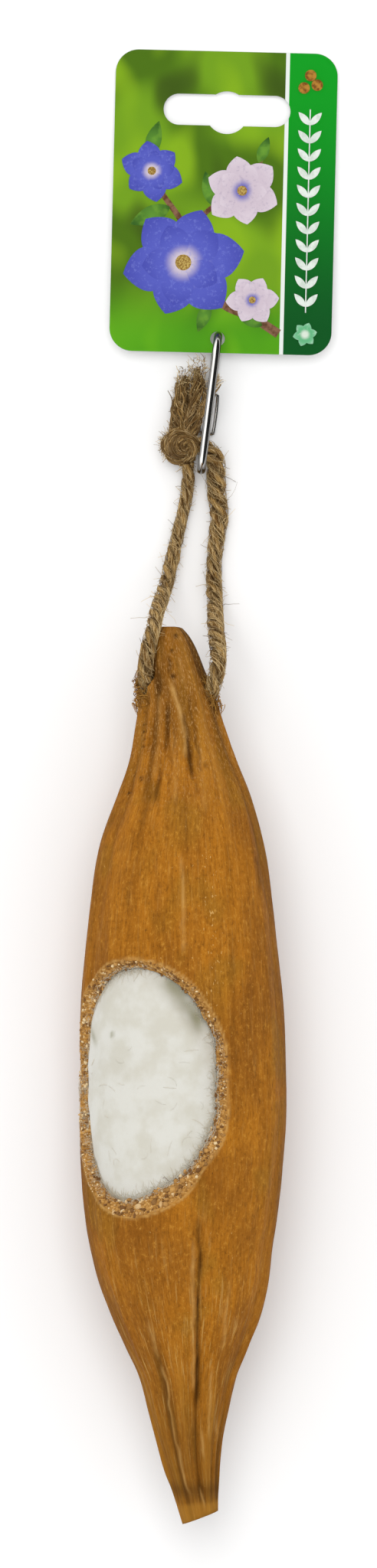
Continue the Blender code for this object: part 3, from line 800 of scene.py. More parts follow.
def rope_hairs(line, count, rng, rope_radius):
    side, up = along_frames(line)
    tangent = unit(np.gradient(line, axis=0))
    at = rng.integers(1, len(line) - 1, count)
    turn = rng.random(count) * 2 * np.pi
    out = about(side[at], up[at], turn)
    starts = line[at] + out * rope_radius[at, None] * 0.8
    ways = out * (0.25 + 0.6 * rng.random(count))[:, None]
    ways = unit(ways + tangent[at] * rng.normal(0, 1, count)[:, None])
    lengths = 0.4 + 0.9 * rng.random(count) + (rng.random(count) < LONG_HAIR_SHARE) * 1.5
    return above(hair_paths(starts, ways, lengths, rng, curl=0.8), HAIR_CLEARANCE)


def lying_fibres(line, count, rng, rope_radius):
    """Loose fibres that lie along the strands on the rope's surface."""
    side, up = along_frames(line)
    at = rng.integers(0, len(line) - 12, count)
    reach = 4 + 8 * rng.random(count)
    t = np.linspace(0.0, 1.0, HAIR_STEPS)
    spots = at[:, None] + reach[:, None] * t[None, :]
    low = np.clip(spots.astype(int), 0, len(line) - 2)
    part = (spots - low)[..., None]
    middle = line[low] * (1 - part) + line[np.minimum(low + 1, len(line) - 1)] * part
    drift = rng.normal(0, 0.9, count)
    turn = rng.random(count) * 2 * np.pi
    angle = turn[:, None] + (2 * np.pi * reach * ROPE_STEP / ROPE_LAY + drift)[:, None] * t[None, :]
    lift = rope_radius[low] * (0.96 + 0.10 * rng.random(count))[:, None]
    lift = lift + 0.2 * np.sin(np.pi * t)[None, :]
    return above(middle + about(side[low], up[low], angle) * lift[..., None], FIBRE_CLEARANCE)


# How thick each leg of the cord is, by its place along the pod
LEFT_SIZES = ((95.0, 0.95), (117.0, 0.93), (129.0, 0.85), (139.0, 0.72), (149.0, 0.80))
RIGHT_SIZES = ((95.0, 1.02), (110.0, 1.06), (121.0, 0.98), (128.0, 0.94), (136.0, 1.06),
               (144.0, 1.18))


def make_cords():
    """The cord's two legs, from the middle of the tunnel out to the knot."""
    look = jute_look()
    hair = fibre_look("jute_hair", (0.10, 0.044, 0.008), (0.82, 0.61, 0.30))
    knot = make_knot(look, hair)
    legs = (
        ("cord_left", CORD_ROUTE[:TUNNEL_MIDDLE + 1][::-1], LEFT_HOLE, LEFT_SIZES, 5),
        ("cord_right", CORD_ROUTE[TUNNEL_MIDDLE:], RIGHT_HOLE, RIGHT_SIZES, 11),
    )
    for name, route, exit_point, sizes, seed in legs:
        line = smooth_route(route, ROPE_STEP)
        size = np.interp(line[:, 1], *zip(*sizes))
        points, faces, fibre, tone = rope_points(line, size, seed)
        piece = make_piece(name, points, faces, look, stands_for=("cord",))
        add_values(piece.data, "fibre", fibre)
        add_values(piece.data, "tone", tone)
        outward(piece)
        rng = np.random.default_rng(seed + 100)
        strays = rope_hairs(line, ROPE_HAIRS, rng, ROPE_HAIRS_OUT * size)
        lying = lying_fibres(line, LYING_FIBRES, rng, LYING_FIBRES_OUT * size)
        paths = np.concatenate([strays, lying])
        radii = hair_radii(rng, len(paths), 0.075, 0.035)
        hairs = make_fibres(name + "_hairs", paths, radii, rng.random(len(paths)), hair)
        length = float(np.linalg.norm(np.diff(line, axis=0), axis=1).sum()) * MM


BUNDLE_STEPS = 20
BUNDLE_ROUNDING = 0.14


def bundle_paths(route, radius, count, rng, twist, uneven, fray):
    """Loose yarns along a route, which swell in the middle and end unevenly."""
    line = smooth_route(route, 0.4)
    side, up = along_frames(line)
    share = np.linspace(0.0, 1.0, BUNDLE_STEPS)
    paths = []
    for k in range(count):
        start = uneven * 0.4 * rng.random() ** 2
        away = math.sqrt(rng.random())
        reach = 1.0 - uneven * rng.random() ** 1.5 - BUNDLE_ROUNDING * away**2
        at = (start + (reach - start) * share) * (len(line) - 1)
        spot = np.stack([np.interp(at, np.arange(len(line)), line[:, axis]) for axis in range(3)], -1)
        near = np.clip(at.round().astype(int), 0, len(line) - 1)
        swell = (0.80 + 0.25 * np.sin(np.pi * share**0.8)) * (1.0 - 0.30 * share**4)
        out = radius * away * swell + fray * rng.normal() * share**4
        turn = rng.random() * 2 * np.pi + twist * share * 2 * np.pi + 0.3 * np.sin(share * 9 + k)
        wave = 0.34 * np.sin(share * (6 + 8 * rng.random()) + k)
        paths.append(spot + about(side[near], up[near], turn) * (out + wave)[:, None])
    return np.array(paths)


YARN_SIDES = 5


def make_yarns(name, paths, thickness, look, rng, darkest=0.15):
    """One piece of loose yarns that stands for part of the knot."""
    count, steps = paths.shape[:2]
    paths = above(paths, thickness * 1.2)
    radii = np.full((count, steps), thickness) * (0.6 + 0.8 * rng.random(count))[:, None]
    radii *= 1.0 - 0.5 * np.linspace(0.0, 1.0, steps)[None, :] ** 6
    points, faces = fine_tubes(paths, radii, YARN_SIDES)
    piece = make_piece(name, points, faces, look, stands_for=("knot",))
    run = np.linspace(0, 14, steps)
    own = rng.random(count) * 60
    angle = 2 * np.pi * np.arange(YARN_SIDES) / YARN_SIDES
    fibre = np.stack(np.broadcast_arrays(
        0.6 * np.cos(angle)[None, None, :] + own[:, None, None], run[None, :, None],
        0.6 * np.sin(angle)[None, None, :] + own[:, None, None]), axis=-1).reshape(-1, 3)
    add_values(piece.data, "fibre", fibre)
    tones = darkest + (1 - darkest) * rng.random(count)
    add_values(piece.data, "tone", np.repeat(tones, steps * YARN_SIDES))
    outward(piece)
    return piece


BUN_CENTRE = (-0.8, 157.9, 5.3)
BUN_RADII = (3.4, 3.0, 3.6)
BUN_FACING = (0.60, -0.02, 0.80)
BUN_YARNS = 230
BUN_STEPS = 16
YARN_THICKNESS = 0.23
KNOT_HAIRS = 760
TAIL_HAIRS = 380
# Room left between the opening gate and the yarns or hairs near it
YARN_ROOM = 0.42
HAIR_ROOM = 0.2
CRESCENT = ((-2.4, 160.2, 6.4), (0.0, 160.9, 7.2), (2.2, 160.0, 7.4), (3.3, 157.8, 7.1),
            (3.0, 155.6, 6.4), (1.5, 154.4, 5.6), (0.2, 153.8, 4.4))
LOW_TURN = ((3.6, 155.2, 3.6), (0.6, 154.1, 4.2), (-2.1, 155.1, 4.6), (-3.5, 157.3, 4.8),
            (-3.0, 159.4, 4.6))
# Frayed ends: route, radius, number of yarns, twist
TAIL_BUNDLES = (
    (((-0.5, 159.2, 5.4), (-0.1, 163.0, 4.2), (0.1, 167.6, 3.2), (0.7, 171.9, 2.9), (1.5, 176.0, 2.8)),
     2.15, 120, 0.25),
    (((2.0, 159.6, 5.8), (3.1, 163.4, 5.4), (4.1, 168.0, 4.9), (4.5, 172.8, 4.4), (4.6, 178.2, 4.2)),
     2.05, 110, -0.3),
    (((3.4, 162.4, 5.2), (4.9, 165.4, 7.0), (6.9, 169.4, 7.9), (9.3, 174.4, 7.2)), 0.75, 26, 0.2),
)


def bun_arcs(count, rng):
    """Yarns that wind round the knot's main lump about the way it faces."""
    facing = unit(np.array(BUN_FACING))
    side = unit(np.cross(facing, (0.0, 1.0, 0.0)))
    up = np.cross(facing, side)
    t = np.linspace(0.0, 1.0, BUN_STEPS)[None, :]
    polar = np.radians(8 + 145 * rng.random(count))[:, None]
    polar = polar + np.radians(rng.normal(0, 9, count))[:, None] * t
    sweep = np.radians(70 + 150 * rng.random(count))[:, None]
    turn = (rng.random(count) * 2 * np.pi)[:, None] + sweep * t
    way = (facing * np.cos(polar)[..., None] + side * (np.sin(polar) * np.cos(turn))[..., None]
           + up * (np.sin(polar) * np.sin(turn))[..., None])
    lift = (0.96 + 0.13 * rng.random(count))[:, None] + 0.06 * np.sin(np.pi * t)
    return np.array(BUN_CENTRE) + way * np.array(BUN_RADII) * lift[..., None]


def clear_of_gate(paths, margin):
    """Moves yarns up or aside out of the room the opening gate needs, and tells which were in it."""
    lean = math.radians(CLIP_LEAN)
    x, y, z = paths[..., 0] - CLIP_FOOT[0], paths[..., 1] - CLIP_FOOT[1], paths[..., 2]
    along = x * math.sin(lean) + y * math.cos(lean)
    sideways = x * math.cos(lean) - y * math.sin(lean)
    length = math.hypot(GATE_END_AT - GATE_HINGE_AT, GATE_LIFT)
    slope = math.atan2(GATE_LIFT, GATE_END_AT - GATE_HINGE_AT) + GATE_OPENS
    reach = np.clip(along - GATE_HINGE_AT + margin, 0.0, length * math.cos(slope))
    room = GATE_WIRE / 2 + margin
    top = FLOOR_GAP + WIRE_DIAMETER / 2 + reach * math.tan(slope) + room
    half = GATE_HALF_WIDTH + GATE_BULGE + room
    inside = (along > GATE_HINGE_AT - room) & (along < GATE_END_AT + room)
    inside = inside & (np.abs(sideways) < half) & (z < top)
    up = np.where(inside, top - z, 0.0)
    aside = np.where(inside, sideways + half, 0.0)
    rises = (up.max(axis=1) < 1.2 * aside.max(axis=1))[:, None]
    moved = paths.copy()
    moved[..., 2] += np.where(rises, up, 0.0)
    moved[..., 0] -= np.where(rises, 0.0, aside) * math.cos(lean)
    moved[..., 1] += np.where(rises, 0.0, aside) * math.sin(lean)
    return moved, inside.any(axis=1)


def make_knot(look, hair):
    rng = np.random.default_rng(77)
    centre = np.array(BUN_CENTRE)
    height = np.linspace(0.02, np.pi - 0.02, 36)[:, None]
    around = np.linspace(0, 2 * np.pi, 48, endpoint=False)[None, :]
    ball = np.stack([np.sin(height) * np.cos(around), np.sin(height) * np.sin(around),
                     np.cos(height) * np.ones_like(around)], axis=-1)
    lumps = rich_noise(ball * 1.7 + 5.0, 31, 2)
    rings = centre + ball * np.array(BUN_RADII) * (0.97 + 0.09 * lumps[..., None])
    points, faces = skin_rings(rings)
    core = make_piece("knot_core", points, faces, look, stands_for=("knot",))
    add_values(core.data, "fibre", points)
    # The core is painted dark: painted shade in the gaps between the knot's yarns.
    add_values(core.data, "tone", np.full(len(points), 0.35))
    outward(core)
    made = [core, make_yarns("knot_bun", bun_arcs(BUN_YARNS, rng), 0.27, look, rng)]
    turns = (("knot_crescent", CRESCENT, 1.25, 60), ("knot_low_turn", LOW_TURN, 1.1, 50))
    for name, route, radius, count in turns:
        paths = bundle_paths(route, radius, count, rng, twist=0.5, uneven=0.12, fray=0.1)
        made.append(make_yarns(name, paths, YARN_THICKNESS, look, rng, 0.6))
    for number, (route, radius, count, twist) in enumerate(TAIL_BUNDLES):
        paths = bundle_paths(route, radius, count, rng, twist=twist, uneven=0.26, fray=0.6)
        paths, _ = clear_of_gate(paths, YARN_ROOM)
        made.append(make_yarns(f"tail_{number}", paths, YARN_THICKNESS, look, rng))
    starts, ways = [], []
    for _ in range(KNOT_HAIRS):
        way = unit(rng.normal(size=3) * np.array((1.0, 1.0, 0.45)) + np.array((-0.5, 0.3, -0.25)))
        starts.append(centre + way * np.array(BUN_RADII) * 1.02)
        ways.append(way * 0.6 + rng.normal(size=3) * 0.7)
    for route, radius, _, _ in TAIL_BUNDLES:
        line = smooth_route(route, 0.5)
        for _ in range(TAIL_HAIRS):
            at = int(len(line) * rng.random() ** 0.6)
            way = unit(rng.normal(size=3))
            starts.append(line[min(at, len(line) - 1)] + way * radius * 0.9)
            ways.append(way * 0.35 + np.array((0.1, 0.8, 0.0)) + rng.normal(size=3) * 0.4)
    starts, ways = np.array(starts), unit(np.array(ways))
    paths = hair_paths(starts, ways, 0.5 + 1.1 * rng.random(len(starts)) ** 2, rng, curl=0.7)
    paths = above(paths, HAIR_CLEARANCE)
    paths = paths[~clear_of_gate(paths, HAIR_ROOM)[1]]
    radii = hair_radii(rng, len(paths), 0.10, 0.045)
    made.append(make_fibres("knot_hairs", paths, radii, rng.random(len(paths)), hair))
    return made


def clip_point(along, height, sideways=0.0):
    lean = math.radians(CLIP_LEAN)
    x = CLIP_FOOT[0] + along * math.sin(lean) + sideways * math.cos(lean)
    y = CLIP_FOOT[1] + along * math.cos(lean) - sideways * math.sin(lean)
    return x, y, height


BACK_HEIGHT = FLOOR_GAP + WIRE_DIAMETER / 2
MIDDLE_HEIGHT = BACK_HEIGHT + CLIP_BOW_RADIUS
FRONT_HEIGHT = MIDDLE_HEIGHT + CLIP_BOW_RADIUS
LOW_BOW_AT = WIRE_DIAMETER / 2 + CLIP_BOW_RADIUS
HIGH_BOW_AT = CLIP_LENGTH - LOW_BOW_AT
BOW_STEPS = 36
WIRE_END_SHARE = 0.86
GATE_CORNER = 0.5
GATE_BULGE = 0.15


def apply_modifiers(obj):
    graph = bpy.context.evaluated_depsgraph_get()
    made = bpy.data.meshes.new_from_object(obj.evaluated_get(graph))
    obj.modifiers.clear()
    old, obj.data = obj.data, made
    bpy.data.meshes.remove(old)


def cut_with(target, name, points, faces, material):
    """Cuts a closed shape out of an object."""
    cutter = plain_object(name, points, faces, material)
    modifier = target.modifiers.new("cut", "BOOLEAN")
    modifier.operation = "DIFFERENCE"
    modifier.solver = "MANIFOLD"
    modifier.object = cutter
    apply_modifiers(target)
    bpy.data.objects.remove(cutter, do_unlink=True)


def plain_object(name, points, faces, material):
    obj = link_new(name, make_mesh(name, points, faces, material))
    outward(obj)
    return obj


def make_clip():
    look = steel_look()
    turns = [math.pi * k / BOW_STEPS for k in range(BOW_STEPS + 1)]
    spots = [(STUB_END_AT, BACK_HEIGHT), (STUB_END_AT - 0.5, BACK_HEIGHT), (GATE_HINGE_AT, BACK_HEIGHT)]
    for end, way in ((LOW_BOW_AT, -1), (HIGH_BOW_AT, 1)):
        for turn in turns:
            spots.append((end + way * CLIP_BOW_RADIUS * math.sin(turn),
                          MIDDLE_HEIGHT + way * CLIP_BOW_RADIUS * math.cos(turn)))
        if way < 0:
            spots += [(LOW_BOW_AT + (HIGH_BOW_AT - LOW_BOW_AT) * share, FRONT_HEIGHT)
                      for share in (0.2, 0.4, 0.6, 0.8)]
    spots += [((HIGH_BOW_AT + NOSE_END_AT) / 2, BACK_HEIGHT), (NOSE_END_AT + 0.25, BACK_HEIGHT),
              (NOSE_END_AT, BACK_HEIGHT)]
    path = np.array([clip_point(*spot) for spot in spots])
    radii = np.full(len(path), WIRE_DIAMETER / 2)
    radii[[0, -1]] *= WIRE_END_SHARE
    body = plain_object("clip_wire", *skin_rings(round_wire(path, radii, 28)), look)
    reach = WIRE_DIAMETER
    pin = np.array([clip_point(GATE_HINGE_AT, BACK_HEIGHT, side) for side in (-reach, 0.0, reach)])
    cut_with(body, "pin_cutter", *skin_rings(round_wire(pin, PIN_HOLE / 2, 20)), look)
    smooth_shade(body.data, 35)
    settle(body, stands_for=("clip_body",))
    make_gate(look)


def make_gate(look):
    """The clip's sprung gate: one closed loop of thin wire, drawn round its outline."""
    w, corner, bulge = GATE_HALF_WIDTH, GATE_CORNER, GATE_BULGE
    top = BACK_HEIGHT + GATE_LIFT
    near, far = GATE_HINGE_AT, GATE_END_AT
    low, high = BACK_HEIGHT + 0.08, top - 0.08
    side = [
        (near, BACK_HEIGHT, w - corner), (near + bulge, BACK_HEIGHT, w - bulge), (near + corner, low, w),
        ((near + far) / 2, (BACK_HEIGHT + top) / 2, w + bulge), (far - corner, high, w),
        (far - bulge, top, w - bulge), (far, top, w - corner),
    ]
    other = [(along, height, -sideways) for along, height, sideways in side[::-1]]
    loop = [other[-1], (near, BACK_HEIGHT, 0.0), *side, (far, top, 0.0), *other[:-1]]
    line = [clip_point(*spot) for spot in loop]
    first = np.array(line[0])
    line = smooth_route(line[-2:] + line + line[:3], 0.25)
    start = np.argmin(np.linalg.norm(line[:40] - first, axis=1))
    end = len(line) - 60 + np.argmin(np.linalg.norm(line[-60:] - first, axis=1))
    line = line[start:end]
    rings = round_wire(line, GATE_WIRE / 2, 14, closed=True)
    gate = make_piece("gate_wire", rings.reshape(-1, 3), loop_faces(len(line), 14), look,
                      body="gate", stands_for=("clip_gate",))
    outward(gate)


SKIN_SEGMENTS = 256
SKIN_RINGS = 336
HOLLOW_SEGMENTS = 96
HOLLOW_RINGS = 60
WINDOW_SIDES = 300
FRONT_SEAM_SPREAD = 24.0
# Places along the pod, measured from its middle, between which the skin's colour changes
NECK_DARKENS = (74.0, 100.0)
TAIL_DARKENS = (62.0, 100.0)
NECK_CHANGES = (55.0, 95.0)
TAIL_WEARS = (35.0, 75.0)
SCUFFS_AT = 7.8
SCUFFS_WIDTH = 3.0
TIP_LINE_AT = -104.6
TIP_LINE_WIDTH = 2.2
TIP_PALENESS = 0.4
CRUMBS = 1700
HOLE_FIBRES = 150
# Marks seen on the pod's upper side: places in plan, half width, depth (minus is a ridge), tone
GROOVES = (
    (((4.2, -34.5), (5.2, -44.1), (5.0, -50.7), (4.4, -57.6), (4.4, -69.0), (4.2, -84.2)), 0.38, 0.8, 0.85),
    (((4.6, -101.5), (5.8, -106.0), (7.1, -110.6)), 0.4, 0.6, 0.8),
    (((-13.1, 49.3), (-13.0, 39.7)), 0.45, 0.3, 0.6),
    (((18.9, 56.1), (20.2, 40.8)), 0.4, 0.5, 0.4),
    (((-15.0, 67.6), (-18.9, 59.9)), 0.4, 0.6, 0.4),
    (((-3.7, 107.2), (-3.2, 104.3), (-2.5, 100.8), (-1.7, 98.0)), 0.40, 0.9, 0.40),
    (((0.7, 91.5), (1.7, 86.1), (2.0, 84.1), (2.5, 78.2), (3.6, 71.8)), 0.42, 1.2, 0.45),
    (((-3.2, 94.0), (-3.1, 88.1), (-3.5, 84.1), (-4.0, 78.5)), 0.42, 1.1, 0.35),
    (((-6.6, 91.0), (-7.0, 88.0), (-7.5, 85.1), (-8.7, 78.1)), 0.42, 1.1, 0.35),
    (((-4.6, 79.2), (-5.1, 73.8), (-7.0, 66.0)), 0.38, 0.9, 0.45),
    (((6.0, 78.6), (6.4, 75.8)), 0.35, 0.5, 0.6),
    (((3.9, 74.2), (4.2, 68.6)), 0.45, 0.5, 0.5),
    (((-6.0, 103.0), (-5.6, 97.0), (-5.4, 93.0)), 0.6, 0.8, 0.45),
    (((2.4, 99.0), (3.6, 94.0), (4.6, 88.0)), 0.5, 0.7, 0.40),
    (((-2.5, 66.0), (-1.6, 40.0)), 0.8, 0.25, 0.25),
    (((11.5, 60.0), (13.0, 30.0), (13.5, 0.0)), 0.7, 0.2, 0.25),
    (((-1.9, 92.0), (-1.5, 84.0), (-2.2, 76.0)), 0.28, 0.5, 0.40),
    (((1.9, 96.0), (3.3, 88.0), (4.6, 80.0), (5.4, 74.0)), 0.30, 0.6, 0.45),
    (((-7.3, 98.0), (-8.0, 92.0), (-9.2, 84.0)), 0.30, 0.5, 0.40),
    (((-5.3, 76.0), (-5.6, 70.0), (-5.3, 62.0)), 0.28, 0.4, 0.35),
    (((0.9, 72.0), (1.4, 62.0), (1.9, 54.0)), 0.28, 0.3, 0.35),
    (((-11.5, 74.0), (-13.2, 68.0), (-15.0, 60.0)), 0.28, 0.3, 0.35),
)
RIDGES = (
    (((0.4, 56.1), (0.7, 43.0), (1.0, 29.5)), 0.45, 0.25, 0.5),
    (((3.2, -40.0), (3.3, -57.0), (3.2, -80.0)), 0.5, 0.4, 0.5),
    (((-5.2, -71.5), (-3.3, -77.1), (-2.3, -84.8), (-0.8, -93.1), (0.6, -100.0), (2.9, -107.0)),
     0.30, 0.30, 0.50),
    (((5.0, -87.7), (5.8, -93.5), (5.8, -97.5)), 0.35, 0.3, 0.65),
    (((4.6, -102.9), (5.8, -107.3), (6.4, -110.6)), 0.3, 0.3, 0.6),
    (((8.1, -72.1), (7.5, -77.1), (7.5, -82.7), (7.1, -93.1)), 0.30, 0.30, 0.50),
    (((9.4, -85.2), (9.1, -92.9)), 0.35, 0.3, 0.55),
    (((14.1, -60.1), (13.1, -65.5)), 0.4, 0.3, 0.5),
    (((12.5, -50.0), (10.6, -70.0)), 0.5, 0.25, 0.3),
    (((-8.0, -60.0), (-5.6, -72.0)), 0.5, 0.25, 0.35),
    (((-2.5, 99.4), (-0.7, 92.5), (0.2, 90.0), (1.4, 85.0), (1.4, 78.0)), 0.55, 0.7, 0.60),
    (((-5.2, 96.0), (-5.0, 88.0), (-5.7, 80.0), (-6.8, 72.0)), 0.6, 0.6, 0.2),
    (((-1.6, 86.0), (-1.2, 76.0), (-1.0, 66.0)), 0.6, 0.4, 0.2),
    (((4.6, 84.0), (5.2, 76.0), (6.2, 64.0)), 0.6, 0.35, 0.15),
    (((-1.0, 106.0), (0.4, 100.0), (2.0, 95.0)), 0.5, 0.5, 0.25),
)
PITS = (
    (-8.9, 87.5, 0.3), (-9.1, 85.5, 0.3), (-9.2, 83.8, 0.3), (-9.4, 81.9, 0.3), (-9.8, 73.4, 0.3),
    (-8.3, 93.6, 0.3), (-8.3, 92.5, 0.3), (-8.7, 90.2, 0.3), (-9.8, 74.0, 0.3), (-12.9, 70.1, 0.4),
    (-1.0, 109.6, 0.6), (-2.2, 105.8, 0.45), (-1.7, 99.4, 0.6),
)


def line_near(x, y, line):
    """Distance in plan to a bent line, and a share that fades to nothing at both its ends."""
    nearest, along, run = np.full(x.shape, 1e9), np.zeros(x.shape), 0.0
    for (ax, ay), (bx, by) in zip(line, line[1:]):
        dx, dy = bx - ax, by - ay
        t = np.clip(((x - ax) * dx + (y - ay) * dy) / (dx * dx + dy * dy), 0.0, 1.0)
        away = np.hypot(x - ax - t * dx, y - ay - t * dy)
        along = np.where(away < nearest, run + t * math.hypot(dx, dy), along)
        nearest = np.minimum(nearest, away)
        run += math.hypot(dx, dy)
    fade = min(4.0, 0.45 * run)
    return nearest, smooth_step(0.0, fade, along) * smooth_step(0.0, fade, run - along)


def skin_marks(points, angle):
    """Relief, darkness, paleness, and painted shade and highlight round the marks on the husk's skin."""
    x, y = points[..., 0], points[..., 1]
    x = x + 0.35 * soft_noise(points * 0.35, 61)
    upper = smooth_step(0.05, 0.40, np.cos(np.radians(angle)))
    relief, dark, pale, shade = (np.zeros(x.shape) for _ in range(4))
    uneven = np.clip(0.75 + 0.6 * soft_noise(points * np.array((0.9, 0.25, 0.9)), 67), 0.0, 1.2)
    # Each kind: its marks, up or down, how wide and how strong its surroundings are, their painted shade
    # (darker round grooves, lighter round ridges)
    kinds = ((GROOVES, -1, 2.6, 0.5, 0.42, dark), (RIDGES, 1, 2.2, 0.4, 0.35, pale))
    for marks, way, spread, soft, shading, colour in kinds:
        for line, width, depth, tone in marks:
            near, fade = line_near(x, y, line)
            shape = hump(near, width) * upper * uneven * fade
            around = hump(near / width, spread) * upper * fade
            relief += way * depth * (0.6 * shape + soft * around)
            shade += way * shading * depth * around
            np.maximum(colour, tone * shape, out=colour)
    for px, py, width in PITS:
        shape = hump(np.hypot(x - px, y - py), width) * upper
        relief -= 0.7 * shape
        dark = np.maximum(dark, 0.9 * shape)
    return relief, np.clip(dark, 0, 1), np.clip(pale, 0, 1), shade


def grain_places(angle, place):
    turn = np.radians(angle)
    return np.stack(np.broadcast_arrays(np.sin(turn) * 22.0, place, np.cos(turn) * 22.0), axis=-1)


def end_folds(angle, place):
    """Soft lengthwise folds, from -1 to 1, that show near the husk's ends."""
    grain = grain_places(angle, place)
    folds = rich_noise(grain * np.array((0.17, 0.020, 0.17)) + 7.0, 17, 3)
    return np.clip(1.7 * folds, -1.0, 1.0)


def end_share(place):
    return 0.12 + 0.88 * np.maximum(smooth_step(45.0, 85.0, place), smooth_step(50.0, 90.0, -place))


def skin_change(angle, place):
    """How far the husk's skin stands out from the plain pod outline."""
    near_front = hump(angle_between(angle, SEAMS[0][0]), FRONT_SEAM_SPREAD)
    near_front = near_front * smooth_step(-45.0, -15.0, place)
    relief = husk_relief(angle, place) * (1.0 - 0.72 * near_front)
    grain = grain_places(angle, place)
    fade = 1.0 - 0.6 * smooth_step(100.0, 112.0, np.abs(place))
    streaks = rich_noise(grain * np.array((0.55, 0.035, 0.55)), 11, 3)
    fine = rich_noise(grain * np.array((1.9, 0.10, 1.9)), 23, 2)
    lumps = rich_noise(grain * np.array((0.09, 0.05, 0.09)), 29, 2)
    folds = 0.55 * end_share(place) * end_folds(angle, place)
    relief = relief + (0.28 * streaks + 0.11 * fine + 0.30 * lumps + folds) * fade
    marks = skin_marks(pod_points(angle, place, relief), angle)[0]
    return relief + marks


def cut_reach(turn, change):
    """Reach of the window's cut face at a height above or below the skin."""
    skin, wall = skin_edge(turn), wall_edge(turn)
    slope = (skin - wall) / HUSK_WALL
    above = skin + slope * np.minimum(change, 2.0)
    return np.where(change > 0, above, np.maximum(skin + slope * change, wall - 0.6))


def window_cutter_rings(segments):
    turns = 360.0 * np.arange(segments) / segments
    spot = np.stack([np.cos(np.radians(turns)), np.sin(np.radians(turns)), turns * 0], axis=-1)
    ragged = rich_noise(spot * 9.0 + 3.0, 83, 3)
    rings = []
    for share in (0.04, 0.35, 0.7):
        rings.append(pod_points(*window_place(turns, share * cut_reach(turns, 0.0)), 6.0))
    changes = [6.0, 3.0] + list(np.linspace(1.2, -HUSK_WALL - 0.4, 14)) + [-8.0]
    for change in changes:
        rough = rich_noise(spot * 15.0 + np.array((0.0, 0.0, change * 1.6)), 91, 3)
        calm = 1.0 if -6 < change < 2 else 0.3
        bumps = (0.30 * ragged + 0.45 * rough) * calm
        change_of = np.full(segments, change)
        rings.append(pod_points(*window_place(turns, cut_reach(turns, change_of) + bumps), change))
    return np.array(rings)


def make_husk():
    look = husk_look()
    u = np.linspace(-1.0, 1.0, SKIN_RINGS)
    middle = (HUSK_STATIONS[0][0] + HUSK_STATIONS[-1][0]) / 2
    half = (HUSK_STATIONS[-1][0] - HUSK_STATIONS[0][0]) / 2
    places = middle + half * (0.8 * u + 0.2 * np.sin(u * math.pi / 2))
    angle, place = ring_grid(places, SKIN_SEGMENTS)
    rings = pod_points(angle, place, skin_change(angle, place)).copy()
    tip_share = 1.0 - smooth_step(-112.0, -112.0 + TIP_CUT_LENGTH, place)
    rings[..., 1] += TIP_CUT_SLOPE * (rings[..., 0] - axis_drift(place)) * tip_share
    rings[..., 2] = np.maximum(rings[..., 2], 0.0)
    top = rings[-1].mean(axis=0)
    for shrink, rise in ((0.90, 0.22), (0.72, 0.42), (0.42, 0.55)):
        rounded = top + (rings[SKIN_RINGS - 1] - top) * shrink
        rounded[:, 1] = top[1] + rise
        rings = np.concatenate([rings, rounded[None]])
    skin = plain_object("husk_skin", *skin_rings(rings), look)
    around, steps = ring_grid(np.linspace(CAVITY_LOW, CAVITY_HIGH, HOLLOW_RINGS), HOLLOW_SEGMENTS)
    hollow = pod_points(around, steps, cavity_change(steps))
    tunnel = smooth_route(CORD_ROUTE[TUNNEL_FROM:TUNNEL_TO + 1], 1.0)
    cutters = (("hollow_cutter", hollow), ("window_cutter", window_cutter_rings(WINDOW_SIDES)),
               ("tunnel_cutter", round_wire(tunnel, TUNNEL_RADIUS, 24)))
    for name, cutter in cutters:
        cut_with(skin, name, *skin_rings(cutter), look)
    mesh = skin.data
    smooth_shade(mesh, 50)
    for name, values in skin_values(mesh_points(mesh)).items():
        add_values(mesh, name, values)
    settle(skin, stands_for=("husk",))


